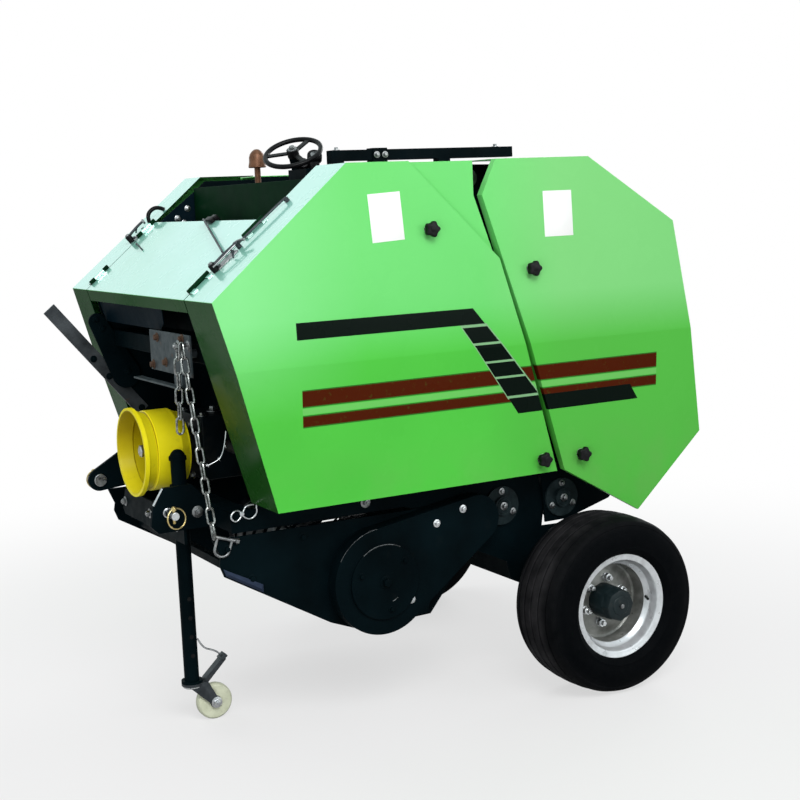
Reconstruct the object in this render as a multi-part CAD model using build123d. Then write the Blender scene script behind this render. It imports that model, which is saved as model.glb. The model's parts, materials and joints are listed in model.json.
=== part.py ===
from build123d import *
import math
import os

# Round baler with a fixed roller chamber. Millimetres.
# +X is the machine's left side, -Y its front (the hitch), +Z up, the ground is z = 0.
# Outlines of plates that stand along the machine are lists of (y, z) corners.

CENTRE_SHIFT = 26.0    # moves the finished model so that the origin is under the middle of its length

# ---------------------------------------------------------------- running gear
TYRE_RADIUS = 260.0
TYRE_WIDTH = 210.0
TYRE_WALL = 14.0
TYRE_CROWN = 10.0      # drop from the tread's middle to its edge
TYRE_TREAD_INSET = 14.0
TYRE_HIP = (8.0, 34.0)     # inset, and height over the bead
TYRE_WAIST = 66.0
BEAD_RADIUS = 135.0
BEAD_HALF_WIDTH = 80.0
RIM_WALL = 4.0
RIM_FLANGE = 16.0
RIM_DISC_OFFSET = 12.0
HUB_RADIUS = 78.0
HUB_FLANGE = 10.0
HUB_NOSE_RADIUS = 50.0
HUB_NOSE_LENGTH = 96.0
HUB_NOSE_CHAMFER = 6.0
HUB_DRUM_RADIUS = 46.0
HUB_DRUM_LENGTH = 70.0
HUB_CAP_WALL = 6.0
WHEEL_X = 582.0
AXLE_Y = 449.0
STUB_RADIUS = 20.0
AXLE_TUBE = 60.0
AXLE_TUBE_WALL = 6.0
AXLE_END_X = 462.0

# ---------------------------------------------------------------- clearances
FIT = 0.3            # plates and blocks that seat on each other
BORE_FIT = 0.1       # shafts that turn in a bore
PANEL_GAP = 5.0      # gaps beside doors and covers

# ---------------------------------------------------------------- covers
COVER_HALF_WIDTH = 580.0
COVER_BULGE = 23.0
COVER_SHEET = 3.0
COVER_RETURN = 22.0
CREASE_Z = 1038.0
COVER_BOTTOM_Z = 664.0
COVER_TOP_Z = 1547.0
SEAM_LEFT = 405.0     # inner edge of the left front cover's deep flange
SEAM_RIGHT = 445.0
SEAM_REAR = 441.0

NOSE_BOTTOM = (-572.0, COVER_BOTTOM_Z)
NOSE_TIP = (-725.0, 1216.0)
NOSE_TOP = (-331.0, COVER_TOP_Z)
TOP_END = (-147.0, COVER_TOP_Z)
SPLIT_TOP = (119.0, 1279.0)
SPLIT_BOTTOM = (298.0, COVER_BOTTOM_Z)
GATE_BOTTOM = (324.0, COVER_BOTTOM_Z)
GATE_SPLIT_TOP = (74.0, 1451.0)
GATE_TOP_FRONT = (124.0, COVER_TOP_Z)
GATE_TOP_REAR = (433.0, COVER_TOP_Z)
GATE_SHOULDER = (726.0, 1355.0)
GATE_WAIST = (775.0, CREASE_Z)
GATE_TAIL = (819.0, 722.0)
GATE_HEEL = (591.0, 509.0)

HINGE_RADIUS = 6.0
HINGE_LENGTH = 38.0
HINGE_LEAF = 25.0
HINGE_LEAF_THICKNESS = 3.0
FRONT_HINGE_STATIONS = (60.0, 270.0)
REAR_HINGE_STATIONS = (60.0, 260.0)

KNOB_RADIUS = 20.0
KNOB_LENGTH = 26.0
KNOB_STEM = 9.0
KNOB_LOBES = 5
KNOB_LOBE_RADIUS = 6.4
KNOB_CORE_RADIUS = 14.4
FRONT_KNOBS = ((-98.0, 1367.0), (244.0, 705.0))
REAR_KNOBS = ((219.0, 1245.0), (379.0, 705.0))

# ---------------------------------------------------------------- frame
WALL_INNER = 418.0
WALL_SHEET = 6.0
GATE_WALL_INNER = 430.0
FRAME_INSET = 14.0
WALL_FOOT_Z = (592.0, 650.0)          # bottom of the wall, and the step over the hitch beam
WALL_SPLIT_Z = (1440.0, 548.0)        # ends of the edge that faces the tailgate
WALL_TOP_STEP = 8.0
WALL_PIVOT_LUG = ((150.0, 1530.0), (166.0, 1500.0), (150.0, 1462.0))
WALL_AXLE_LEG = ((345.0, 470.0), (505.0, 465.0), (520.0, 300.0), (500.0, 215.0), (400.0, 215.0), (254.0, 313.0),
                 (230.0, 329.0), (218.0, 380.0), (89.0, 442.0), (60.0, 485.0), (-25.0, 485.0), (-25.0, 560.0))
WALL_FOOT_Y = -120.0
GATE_WALL_OUTLINE = ((350.0, 482.0), (338.0, 664.0), (86.0, 1455.0), (84.0, 1522.0), (112.0, 1538.0),
                     (424.0, 1532.0), (702.0, 1340.0), (749.0, 1038.0), (790.0, 735.0), (585.0, 524.0),
                     (430.0, 482.0))
GATE_HINGE_ARM = 52.0
GATE_HINGE_ARM_Y = 20.0
GATE_TUBES = ((700.0, 1290.0), (742.0, 700.0))
INLET_FLOOR_Y = (-20.0, 120.0)
INLET_FLOOR_Z = (494.0, 500.0)
TUBE = 50.0
TUBE_WALL = 4.0
PIVOT = (121.0, 1500.0)
PIVOT_RADIUS = 17.5
PIVOT_COLLAR_RADIUS = 26.0
PIVOT_COLLAR = 9.0

# ---------------------------------------------------------------- bale chamber
CHAMBER = (305.0, 933.0)
ROLLER_PITCH = 395.0
ROLLER_RADIUS = 60.0
ROLLER_RIB = 6.0
ROLLER_RIB_WIDTH = 8.0
ROLLER_RIBS = 10
ROLLER_END_GAP = 6.0
ROLLER_SHAFT = 17.0
FRONT_ROLLER_ANGLES = (135, 165, 195, 255)
GATE_ROLLER_ANGLES = (285, 315, 345, 15, 45, 75, 105)
BEARING_RADIUS = 57.0
BEARING_PLATE = 8.0
BEARING_NOSE_RADIUS = 28.0
BEARING_NOSE = 10.0

# ---------------------------------------------------------------- nose and top
NOSE_SHEET = 3.0
NOSE_PANEL_END = -492.0
NOSE_LIP = 34.0
BOX_REAR_Y = -366.0
BOX_BOTTOM_Z = 1215.0
BOX_SHEET = 3.0
CROSS_PANEL_TOP_Z = 1513.0
CROSS_PANEL_STEP_Z = 1494.0
CROSS_PANEL_FOLD = 20.0
DECK_DROP = 47.0       # deck below the covers' top
DECK_Z = COVER_TOP_Z - DECK_DROP
DECK_END_Y = -141.0
UPPER_PANEL_X = 572.0
UPPER_PANEL_END_Y = 55.0
UPPER_PANEL_TOE = ((-6.0, 12.0), (-24.0, 32.0))     # corners, from the covers' split
BELL = (0.0, -325.0)
BELL_RADIUS = 26.0
BELL_POST = 57.0
BELL_SKIRT = 22.0
BELL_HEIGHT = 55.0
BELL_POST_RADIUS = 9.0
TOP_BAR_X = 300.0
TOP_BAR_FOOT = 60.0    # height of the bar's underside over the deck
TOP_BAR_SIDE = 30.0
TOP_BAR_FRONT_Y = -240.0
TOP_BAR_REAR_Y = 355.0
TOP_BAR_LEG = 40.0
TOP_BAR_CLAMP_Y = (-112.0, -66.0)
TOP_BAR_CLAMP = 4.0
HANDWHEEL_CENTRE = (152.0, -279.0, 1592.0)
HANDWHEEL_AXIS = (0.35, -0.35, 0.87)
HANDWHEEL_RADIUS = 80.0
HANDWHEEL_RIM = 7.0
HANDWHEEL_HUB_RADIUS = 17.0
HANDWHEEL_HUB = 22.0
HANDWHEEL_SPOKES = 3
HANDWHEEL_SHAFT_RADIUS = 8.0
HANDWHEEL_POST_LENGTH = 60.0
HANDWHEEL_POST_RADIUS = 15.0
HANDWHEEL_SPOKE = (14.0, 5.0)
GEAR_HOUSING_X = (105.0, 225.0)
GEAR_HOUSING_Y = (-275.0, -205.0)
GEAR_HOUSING = 45.0

# ---------------------------------------------------------------- hitch and drive
BEAM_Y = -610.0
BEAM_Z = 622.0
BEAM_DEPTH = 60.0
BEAM_HEIGHT = 55.0
EAR_X = 300.0
EAR_SHEET = 12.0
EAR_OUTLINE = ((-640, 595), (-800, 595), (-819, 615), (-812, 669), (-779, 716), (-700, 716), (-640, 650))
FAR_EAR_RADIUS = 34.0              # round end of the right ear, about its pin
FAR_EAR_ROOT = (-655.0, 686.0)
FAR_EAR_ROOT_RADIUS = 60.0
JACK_BRACKET = (60.0, 50.0)        # width and height
DRAW_PLATE_Y = (-726.0, -718.0)
DRAW_PLATE_OUTLINE = ((-226.0, 568.0), (-210.0, 552.0), (294.0, 552.0), (294.0, 630.0), (-196.0, 630.0))
DRAW_RIBS_X = (-150.0, 60.0)
DRAW_RIB = 8.0
LINK_PIN = (-771.0, 648.0)
LINK_PIN_RADIUS = 11.0
LINK_PIN_SHANK_RADIUS = 14.0
LINK_PIN_FREE = 60.0
LINK_PIN_HEAD_RADIUS = 19.0
LINK_PIN_HEAD = 10.0
PTO_Z = 770.0
GUARD_FRONT_Y = -763.0
GUARD_BACK_Y = -624.0
GUARD_FRONT_RADIUS = 122.0
GUARD_RIM_RADIUS = 127.0
GUARD_NECK_Y = -722.0
GUARD_NECK_RADIUS = 110.0
GUARD_BODY_RADIUS = 115.0
GUARD_ROUND_Y = -648.0
GUARD_BACK_RADIUS = 103.0
GUARD_SHEET = 4.0
GUARD_RIM_WIDTH = 12.0
GEARBOX_HALF_WIDTH = 92.0
GEARBOX_HALF_HEIGHT = 92.0
GEARBOX_SNOUT_RADIUS = 52.0
GEARBOX_SNOUT = 24.0       # length of the snout over the body
GEARBOX_FRONT_GAP = 16.0
GEARBOX_BORE_DEPTH = 60.0
BULKHEAD_Y = -380.0
BULKHEAD_SHEET = 6.0
BULKHEAD_LOW_Z = 640.0
BULKHEAD_TOP_Z = 1180.0
PTO_SHAFT_RADIUS = 17.5
PTO_JOURNAL_RADIUS = 22.5
PTO_SHAFT_TIP_Y = -738.0
PTO_SHAFT_FREE = 106.0
PTO_JOURNAL_DEPTH = 70.0
CROSS_SHAFT_Y = -500.0
CROSS_SHAFT_RADIUS = 17.5
CROSS_SHAFT_END = 26.0
SPROCKET_RADIUS = 62.0
DRIVEN_ROLLERS = (195, 165, 135)
DRIVEN_RADIUS = 44.0
DRIVE_STEP = 14.0
DRIVE_X_INNER = 446.0
DRIVE_X = (DRIVE_X_INNER, DRIVE_X_INNER + DRIVE_STEP)     # inner faces of the two chain rows
DRIVE_CHAIN = 8.0
DRIVE_CHAIN_WIDTH = 10.0

PLATE_Y = -699.0
PLATE_SHEET = 6.0
PLATE_X = (40.0, 354.0)
PLATE_Z = (1007.0, 1119.0)
PLATE_SPACER = 12.0
PLATE_SPACER_INSET = 60.0
SHELF_X = (-26.0, 314.0)
SHELF_Y = (-731.0, -706.0)
SHELF_Z = 978.0
SHELF_SHEET = 5.0
SHELF_TAB = 60.0
GUIDE_X = 139.0                    # left end of the guide plate under the nose
GUIDE_Z = (1117.0, 1206.0)
GUIDE_INSET = 18.0
GUIDE_SHEET = 3.0
GUIDE_CORNER = ((60.0, 0.0), (18.0, 20.0), (0.0, 52.0))     # rounding of its low left corner, from that corner
ARM_TIP = (-712.0, 1118.0)
ARM_TIP_RADIUS = 26.0
ARM_FOOT = (-630.0, 950.0)
ARM_FOOT_RADIUS = 44.0
CROSSBARS = ((-635.0, 1065.0), (-300.0, 1470.0), (-560.0, 1130.0))

# ---------------------------------------------------------------- parking jack
JACK_X = 150.0
JACK_Y = -679.0
JACK_RADIUS = 21.0
JACK_TOP_Z = 789.0
JACK_SLEEVE_RADIUS = 27.0
JACK_SLEEVE_Z = (575.0, 690.0)
SWIVEL_Z = 118.0
SWIVEL_RADIUS = 30.0
SWIVEL_PLATE = 8.0
CASTER_TRAIL = 62.0
CASTER_RADIUS = 52.0
CASTER_WIDTH = 30.0
CASTER_PIN_RADIUS = 6.0
FORK_SHEET = 4.0
FORK_GAP = 4.0
FORK_PLATE = 7.0
BRAKE_PEDAL_HALF_WIDTH = 13.0
BRAKE_PEDAL = ((22.0, -7.0), (42.0, -7.0), (102.0, 52.0), (95.0, 62.0), (36.0, 7.0), (34.0, 0.0), (22.0, 0.0))

# ---------------------------------------------------------------- pickup
REEL = (-229.0, 410.0)
REEL_TIP_RADIUS = 145.0
REEL_BAR_RADIUS = 66.0
REEL_BAR = 9.0
REEL_BARS = 4
REEL_SHAFT_RADIUS = 20.0
REEL_DISC = 5.0
REEL_DISC_RADIUS = 83.0
TINE_RADIUS = 3.5
TINE_COUNT = 10
BAND_RADIUS = 102.0
BAND_SHEET = 3.0
BAND_SHARE = 0.62      # width of a stripper band as a share of the tine spacing
BAND_REAR_Y = -60.0
PICKUP_SIDE_GAP = 16.0   # between the side walls and the pickup's plates
PICKUP_PLATE_INNER = WALL_INNER + WALL_SHEET + PICKUP_SIDE_GAP
PICKUP_PLATE = 6.0
PICKUP_OUTLINE = ((-704.0, 588.0), (-684.0, 540.0), (-688.0, 517.0), (-676.0, 485.0), (-375.0, 308.0),
                  (-300.0, 278.0), (-160.0, 276.0), (-60.0, 278.0), (89.0, 455.0), (118.0, 520.0), (118.0, 570.0),
                  (81.0, 585.0), (-430.0, 588.0))
PICKUP_LIP = ((-688.0, 517.0), (-676.0, 485.0), (-566.0, 420.3), (-566.0, 452.0))
PICKUP_LIP_RISE = 11.0
REEL_END_GAP = 40.0    # between the reel's end discs and the pickup's plates
REEL_HALF_LENGTH = PICKUP_PLATE_INNER - REEL_END_GAP
PICKUP_PIVOT = (81.0, 540.0)
PICKUP_PIN_RADIUS = 15.0
PICKUP_END_RADIUS = 150.0
PICKUP_TUBE = 24.0
PICKUP_REAR_TUBES_Y = -72.0
PICKUP_FRONT_TUBE = (-600.0, 470.0)
CHAIN_GUARD_WIDTH = 48.0
CHAIN_GUARD_REAR_RADIUS = 70.0
CHAIN_GUARD_DISC_RADIUS = 105.0
CHAIN_GUARD_DISC = 9.0

CHAIN_GUARD_LUG = ((-136.0, 340.0), (-84.0, 340.0), (-96.0, 296.0), (-124.0, 296.0))

CHAIN_TOP = (342.0, -716.0, 1094.0)
CHAIN_LINKS = 13
SPARE_LINKS = 6
SPARE_LEAN = (-0.06, -0.01, -1.0)
CHAIN_WIRE = 6.2
CHAIN_HALF_WIDTH = 12.5
CHAIN_END_SIDES = 5                # flats round each end of a link
CHAIN_BITE = 1.2                   # how far each link sinks into the next
SPARE_OFFSET = (-2.0, -11.0, 0.0)
HOOK_RADIUS = 5.0
HOOK_LENGTH = 30.0
SHACKLE_PIN = ((-705.0, 601.0), (-634.0, 577.0))
SHACKLE_LEGS = (0.14, 0.80)        # places of the legs along the pin
SHACKLE_LEG = 38.0
SHACKLE_BOW = 14.0
SHACKLE_WIRE = 8.0

LEVER_FOOT = (-580.0, 828.0)
LEVER_TIP = (-855.0, 1167.0)
LEVER_WIDTH = 42.0
LEVER_SHEET = 8.0


# ---------------------------------------------------------------- shape helpers
def slab_x(outline, x_low, x_high):
    """Plate between two x values from a (y, z) outline."""
    face = Plane.YZ.offset(x_low) * make_face(Polyline(*outline, close=True))
    return extrude(face, amount=x_high - x_low, dir=(1, 0, 0))


def slab_y(outline, y_low, y_high):
    """Plate between two y values from an (x, z) outline."""
    face = Plane.XZ.offset(-y_low) * make_face(Polyline(*outline, close=True))
    return extrude(face, amount=y_high - y_low, dir=(0, 1, 0))


def block(low, high):
    """Box between two corners."""
    size = [b - a for a, b in zip(low, high)]
    centre = [(a + b) / 2 for a, b in zip(low, high)]
    return Pos(*centre) * Box(*size)


def rod(start, end, radius):
    """Round bar between two points."""
    run = Vector(*end) - Vector(*start)
    frame = Plane(origin=start, z_dir=run)
    return frame * Pos(0, 0, run.length / 2) * Cylinder(radius, run.length)


def rod_x(place, x_low, x_high, radius):
    """Round bar along X through a (y, z) place."""
    return rod((x_low, *place), (x_high, *place), radius)


def square_tube_x(place, x_half, depth, height, wall):
    """Rectangular tube along X through a (y, z) place."""
    outer = Pos(0, *place) * Box(2 * x_half, depth, height)
    return outer - Pos(0, *place) * Box(2 * x_half + 2, depth - 2 * wall, height - 2 * wall)


def turned_x(profile, x_centre, place):
    """Body of revolution about an X axis; profile is (offset along X, radius) corners."""
    frame = Plane(origin=(x_centre, *place), x_dir=(1, 0, 0), z_dir=(0, -1, 0))
    face = frame * make_face(Polyline(*profile, close=True))
    return revolve(face, axis=Axis((x_centre, *place), (1, 0, 0)))


def turned_y(profile, x, z):
    """Body of revolution about a Y axis; profile is (radius, y) corners."""
    frame = Plane(origin=(x, 0, z), x_dir=(1, 0, 0), z_dir=(0, 0, 1))
    face = frame * make_face(Polyline(*profile, close=True))
    return revolve(face, axis=Axis((x, 0, z), (0, 1, 0)))


def turned_z(profile, x, y):
    """Body of revolution about a Z axis; profile is (radius, z) corners."""
    frame = Plane(origin=(x, y, 0), x_dir=(1, 0, 0), z_dir=(0, -1, 0))
    face = frame * make_face(Polyline(*profile, close=True))
    return revolve(face, axis=Axis((x, y, 0), (0, 0, 1)))


def inset(outline, distance):
    """Corners of an outline moved inward by a distance."""
    count = len(outline)
    area = sum(outline[i - 1][0] * outline[i][1] - outline[i][0] * outline[i - 1][1] for i in range(count))
    turn = 1.0 if area > 0 else -1.0
    corners = []
    for i in range(count):
        before, here, after = outline[i - 1], outline[i], outline[(i + 1) % count]
        d1 = (Vector(*here) - Vector(*before)).normalized()
        d2 = (Vector(*after) - Vector(*here)).normalized()
        n1 = Vector(-d1.Y, d1.X) * turn
        n2 = Vector(-d2.Y, d2.X) * turn
        corner = Vector(*here) + (n1 + n2) * (distance / (1 + n1.dot(n2)))
        corners.append((corner.X, corner.Y))
    return corners


def mirrored(shape):
    """The same shape on the machine's other side."""
    return mirror(shape, about=Plane.YZ)


def hull_of_circles(centre_a, radius_a, centre_b, radius_b, x_low, x_high):
    """Plate whose outline wraps two circles, joined by their outer tangents."""
    run = Vector(*centre_b) - Vector(*centre_a)
    heading = math.atan2(run.Y, run.X)
    spread = math.acos((radius_a - radius_b) / run.length)
    corners = []
    for angle in (heading + spread, heading - spread):
        corners.append(((centre_a[0] + radius_a * math.cos(angle), centre_a[1] + radius_a * math.sin(angle)),
                        (centre_b[0] + radius_b * math.cos(angle), centre_b[1] + radius_b * math.sin(angle))))
    band = slab_x((corners[0][0], corners[0][1], corners[1][1], corners[1][0]), x_low, x_high)
    return band + rod_x(centre_a, x_low, x_high, radius_a) + rod_x(centre_b, x_low, x_high, radius_b)


def between(start, end, share):
    """Point on a line at a share of its length."""
    return tuple(a + (b - a) * share for a, b in zip(start, end))


parts = {}
SIDES = (("left", 1), ("right", -1))


def on_side(shape, sign):
    """A shape drawn on the left, moved to the side with that sign."""
    return shape if sign > 0 else mirrored(shape)


# ---------------------------------------------------------------- wheels
def tyre():
    """Hollow tyre, open at the beads."""
    half = TYRE_WIDTH / 2
    tread_half = half - TYRE_TREAD_INSET
    shoulder = TYRE_RADIUS - TYRE_CROWN
    bead_top = BEAD_RADIUS + RIM_FLANGE + 2
    hip_x = half - TYRE_HIP[0]
    hip = BEAD_RADIUS + TYRE_HIP[1]
    waist = BEAD_RADIUS + TYRE_WAIST
    outer = [(-BEAD_HALF_WIDTH, BEAD_RADIUS), (-BEAD_HALF_WIDTH, bead_top), (-hip_x, hip), (-half, waist),
             (-tread_half, shoulder), (-tread_half / 2, TYRE_RADIUS), (tread_half / 2, TYRE_RADIUS),
             (tread_half, shoulder), (half, waist), (hip_x, hip), (BEAD_HALF_WIDTH, bead_top),
             (BEAD_HALF_WIDTH, BEAD_RADIUS)]
    wall = TYRE_WALL
    inner = [(BEAD_HALF_WIDTH - wall, BEAD_RADIUS), (hip_x - wall, hip), (half - wall, waist),
             (tread_half - wall / 2, shoulder - wall), (-tread_half + wall / 2, shoulder - wall),
             (-half + wall, waist), (-hip_x + wall, hip), (-BEAD_HALF_WIDTH + wall, BEAD_RADIUS)]
    return turned_x(outer + inner, WHEEL_X, (AXLE_Y, TYRE_RADIUS))


def rim():
    """Rim barrel with its two flanges and the dished disc."""
    seat = BEAD_RADIUS - FIT
    low = seat - RIM_WALL
    flange = BEAD_RADIUS + RIM_FLANGE
    edge = BEAD_HALF_WIDTH + FIT
    lip = edge + RIM_WALL
    disc = -RIM_DISC_OFFSET
    profile = [(-lip, flange), (-edge, flange), (-edge, seat), (edge, seat), (edge, flange), (lip, flange),
               (lip, low), (disc + RIM_WALL, low), (disc + RIM_WALL, HUB_NOSE_RADIUS), (disc, HUB_NOSE_RADIUS),
               (disc, low), (-lip, low)]
    return turned_x(profile, WHEEL_X, (AXLE_Y, TYRE_RADIUS))


def hub():
    """Hub drum and flange behind the disc, with a deep capped nose through it."""
    back = -RIM_DISC_OFFSET
    nose = back + HUB_NOSE_LENGTH
    bore = STUB_RADIUS + BORE_FIT
    nose_radius = HUB_NOSE_RADIUS - FIT
    profile = [(back - HUB_DRUM_LENGTH, bore), (back - HUB_DRUM_LENGTH, HUB_DRUM_RADIUS),
               (back - HUB_FLANGE, HUB_DRUM_RADIUS), (back - HUB_FLANGE, HUB_RADIUS), (back, HUB_RADIUS),
               (back, nose_radius), (nose - HUB_NOSE_CHAMFER, nose_radius), (nose, nose_radius - HUB_NOSE_CHAMFER),
               (nose, 0), (nose - HUB_CAP_WALL, 0), (nose - HUB_CAP_WALL, bore)]
    return turned_x(profile, WHEEL_X, (AXLE_Y, TYRE_RADIUS))


# ---------------------------------------------------------------- covers
def face_x(z):
    """Outer face of the creased covers at a height."""
    span = COVER_TOP_Z - CREASE_Z if z > CREASE_Z else CREASE_Z - COVER_BOTTOM_Z
    return COVER_HALF_WIDTH + COVER_BULGE * (1 - abs(z - CREASE_Z) / span)


def hinge_frame(start, end):
    """Frame on a cover's flange edge: x across the machine, y inward, z from start to end."""
    along = Vector(0, end[0] - start[0], end[1] - start[1])
    return Plane(origin=(0, *start), x_dir=(1, 0, 0), z_dir=along)


def knuckles(frame, x, stations, length, offsets, leaf_side):
    """Hinge barrels with a leaf each, on a frame of a flange edge."""
    shapes = None
    for station in stations:
        for offset in offsets:
            barrel = Pos(x, -HINGE_RADIUS, station + offset) * Cylinder(HINGE_RADIUS, length)
            leaf_centre = (x + leaf_side * HINGE_LEAF / 2, -HINGE_LEAF_THICKNESS / 2, station + offset)
            leaf = Pos(*leaf_centre) * Box(HINGE_LEAF, HINGE_LEAF_THICKNESS, length)
            shape = frame * (barrel + leaf)
            shapes = shape if shapes is None else shapes + shape
    return shapes


def cover_knuckles(start, end, x, stations):
    """The two outer barrels of each hinge, on the cover."""
    half = HINGE_LENGTH / 2
    offset = half + FIT + half / 2
    return knuckles(hinge_frame(start, end), x, stations, half, (-offset, offset), 1)


def cover(outline, deep_edges, seam):
    """Creased sheet with a deep flange on some edges and a short return on the others."""
    low_z = min(z for y, z in outline)
    front = min(y for y, z in outline)
    rear = max(y for y, z in outline)
    outside = COVER_HALF_WIDTH + COVER_BULGE
    levels = (low_z, CREASE_Z, COVER_TOP_Z)
    outer_line = [(face_x(z), z) for z in levels]
    inner_line = [(face_x(z) - COVER_SHEET, z) for z in reversed(levels)]
    sheet = slab_y(outer_line + inner_line, front, rear)
    solid = slab_y(outer_line + [(seam, COVER_TOP_Z), (seam, low_z)], front, rear)
    shape = sheet & slab_x(outline, seam, outside)
    inner = inset(outline, COVER_SHEET)
    count = len(outline)
    for i in range(count):
        after = (i + 1) % count
        depth_x = seam if i in deep_edges else COVER_HALF_WIDTH - COVER_RETURN
        strip = slab_x((outline[i], outline[after], inner[after], inner[i]), depth_x, outside)
        shape += strip & solid
    return shape


FRONT_OUTLINE = (NOSE_BOTTOM, NOSE_TIP, NOSE_TOP, TOP_END, SPLIT_TOP, SPLIT_BOTTOM)
REAR_OUTLINE = (GATE_BOTTOM, GATE_SPLIT_TOP, GATE_TOP_FRONT, GATE_TOP_REAR, GATE_SHOULDER, GATE_WAIST,
                GATE_TAIL, GATE_HEEL)


def front_cover(seam):
    """Front cover: deep flanges on the nose, the slope and the top."""
    body = cover(FRONT_OUTLINE, (0, 1, 2), seam)
    return body + cover_knuckles(NOSE_TIP, NOSE_TOP, seam - PANEL_GAP / 2, FRONT_HINGE_STATIONS)


def rear_cover():
    """Rear cover: deep flanges on the top and round the back."""
    body = cover(REAR_OUTLINE, (2, 3, 4, 5), SEAM_REAR)
    return body + cover_knuckles(GATE_SHOULDER, GATE_WAIST, SEAM_REAR - PANEL_GAP / 2, REAR_HINGE_STATIONS)


def knobs(places):
    """Lobed clamping knobs standing on the cover's face."""
    shapes = []
    for y, z in places:
        foot = max(face_x(z - KNOB_STEM), face_x(z + KNOB_STEM)) + FIT
        knob = rod_x((y, z), foot, foot + KNOB_LENGTH / 2, KNOB_STEM)
        head = rod_x((y, z), foot + KNOB_LENGTH / 2, foot + KNOB_LENGTH, KNOB_CORE_RADIUS)
        reach = KNOB_RADIUS - KNOB_LOBE_RADIUS
        for i in range(KNOB_LOBES):
            turn = 2 * math.pi * i / KNOB_LOBES
            lobe = (y + reach * math.cos(turn), z + reach * math.sin(turn))
            head += rod_x(lobe, foot + KNOB_LENGTH / 2, foot + KNOB_LENGTH, KNOB_LOBE_RADIUS)
        shapes.append(knob + head)
    return shapes


def upper_panel():
    """Fixed side panel between the two covers, with a top flange that lies on the side wall."""
    gap = PANEL_GAP + 1
    outline = ((TOP_END[0] + gap, COVER_TOP_Z - COVER_SHEET), (UPPER_PANEL_END_Y, COVER_TOP_Z - COVER_SHEET),
               (UPPER_PANEL_END_Y, GATE_SPLIT_TOP[1]),
               *((SPLIT_TOP[0] + dy, SPLIT_TOP[1] + dz) for dy, dz in UPPER_PANEL_TOE))
    sheet = slab_x(outline, UPPER_PANEL_X - COVER_SHEET, UPPER_PANEL_X)
    top = block((WALL_INNER, TOP_END[0] + gap, COVER_TOP_Z - 2 * COVER_SHEET),
                (UPPER_PANEL_X, UPPER_PANEL_END_Y, COVER_TOP_Z - COVER_SHEET))
    return sheet + top


# ---------------------------------------------------------------- chamber
def roller_place(angle):
    """Centre of the roller at an angle round the chamber."""
    turn = math.radians(angle)
    return (CHAMBER[0] + ROLLER_PITCH * math.cos(turn), CHAMBER[1] + ROLLER_PITCH * math.sin(turn))


def roller(angle, wall_inner):
    """Ribbed steel roller with its shaft between the two walls."""
    place = roller_place(angle)
    half = WALL_INNER - ROLLER_END_GAP
    shape = rod_x(place, -half, half, ROLLER_RADIUS)
    for i in range(ROLLER_RIBS):
        turn = 360 * i / ROLLER_RIBS
        rib = Pos(0, *place) * Rot(turn, 0, 0) * Pos(0, ROLLER_RADIUS, 0)
        shape += rib * Box(2 * half, 2 * ROLLER_RIB, ROLLER_RIB_WIDTH)
    return shape + rod_x(place, -wall_inner + FIT, wall_inner - FIT, ROLLER_SHAFT)


def bearing(place, wall_outer):
    """Round flanged bearing housing on the outside of a wall."""
    plate = rod_x(place, wall_outer, wall_outer + BEARING_PLATE, BEARING_RADIUS)
    nose_end = wall_outer + BEARING_PLATE + BEARING_NOSE
    return plate + rod_x(place, wall_outer, nose_end, BEARING_NOSE_RADIUS)


def side_wall():
    """Front half of the chamber's side wall, reaching down to the axle."""
    split_drop = (SPLIT_BOTTOM[0] - SPLIT_TOP[0]) / (SPLIT_TOP[1] - SPLIT_BOTTOM[1])
    edge = inset((NOSE_BOTTOM, NOSE_TIP, NOSE_TOP, TOP_END, (TOP_END[0], COVER_BOTTOM_Z)), FRAME_INSET)
    lip_z = COVER_TOP_Z - 2 * COVER_SHEET - FIT
    split = [(GATE_BOTTOM[0] - (z - COVER_BOTTOM_Z) * split_drop, z) for z in WALL_SPLIT_Z]
    front = BEAM_Y - BEAM_DEPTH / 2
    step_y = TOP_END[0] + WALL_TOP_STEP
    outline = [(front, WALL_FOOT_Z[0]), (front, WALL_FOOT_Z[1]), (edge[0][0], WALL_FOOT_Z[1]), edge[0], edge[1],
               edge[2], (step_y, edge[2][1]), (step_y, lip_z), (UPPER_PANEL_END_Y, lip_z), *WALL_PIVOT_LUG,
               *split, *WALL_AXLE_LEG, (WALL_FOOT_Y, WALL_FOOT_Z[0])]
    wall = slab_x(outline, WALL_INNER, WALL_INNER + WALL_SHEET)
    hole = AXLE_TUBE + 2 * FIT
    wall -= Pos(WALL_INNER, AXLE_Y, TYRE_RADIUS) * Box(4 * WALL_SHEET, hole, hole)
    wall -= rod_x(PIVOT, WALL_INNER - 1, GATE_WALL_INNER, PIVOT_RADIUS + FIT)
    wall -= rod_x((CROSS_SHAFT_Y, PTO_Z), WALL_INNER - 1, GATE_WALL_INNER, CROSS_SHAFT_RADIUS + FIT)
    pin = rod_x(PICKUP_PIVOT, WALL_INNER + WALL_SHEET, PICKUP_PLATE_INNER + PICKUP_PLATE, PICKUP_PIN_RADIUS)
    return wall + pin


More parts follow.
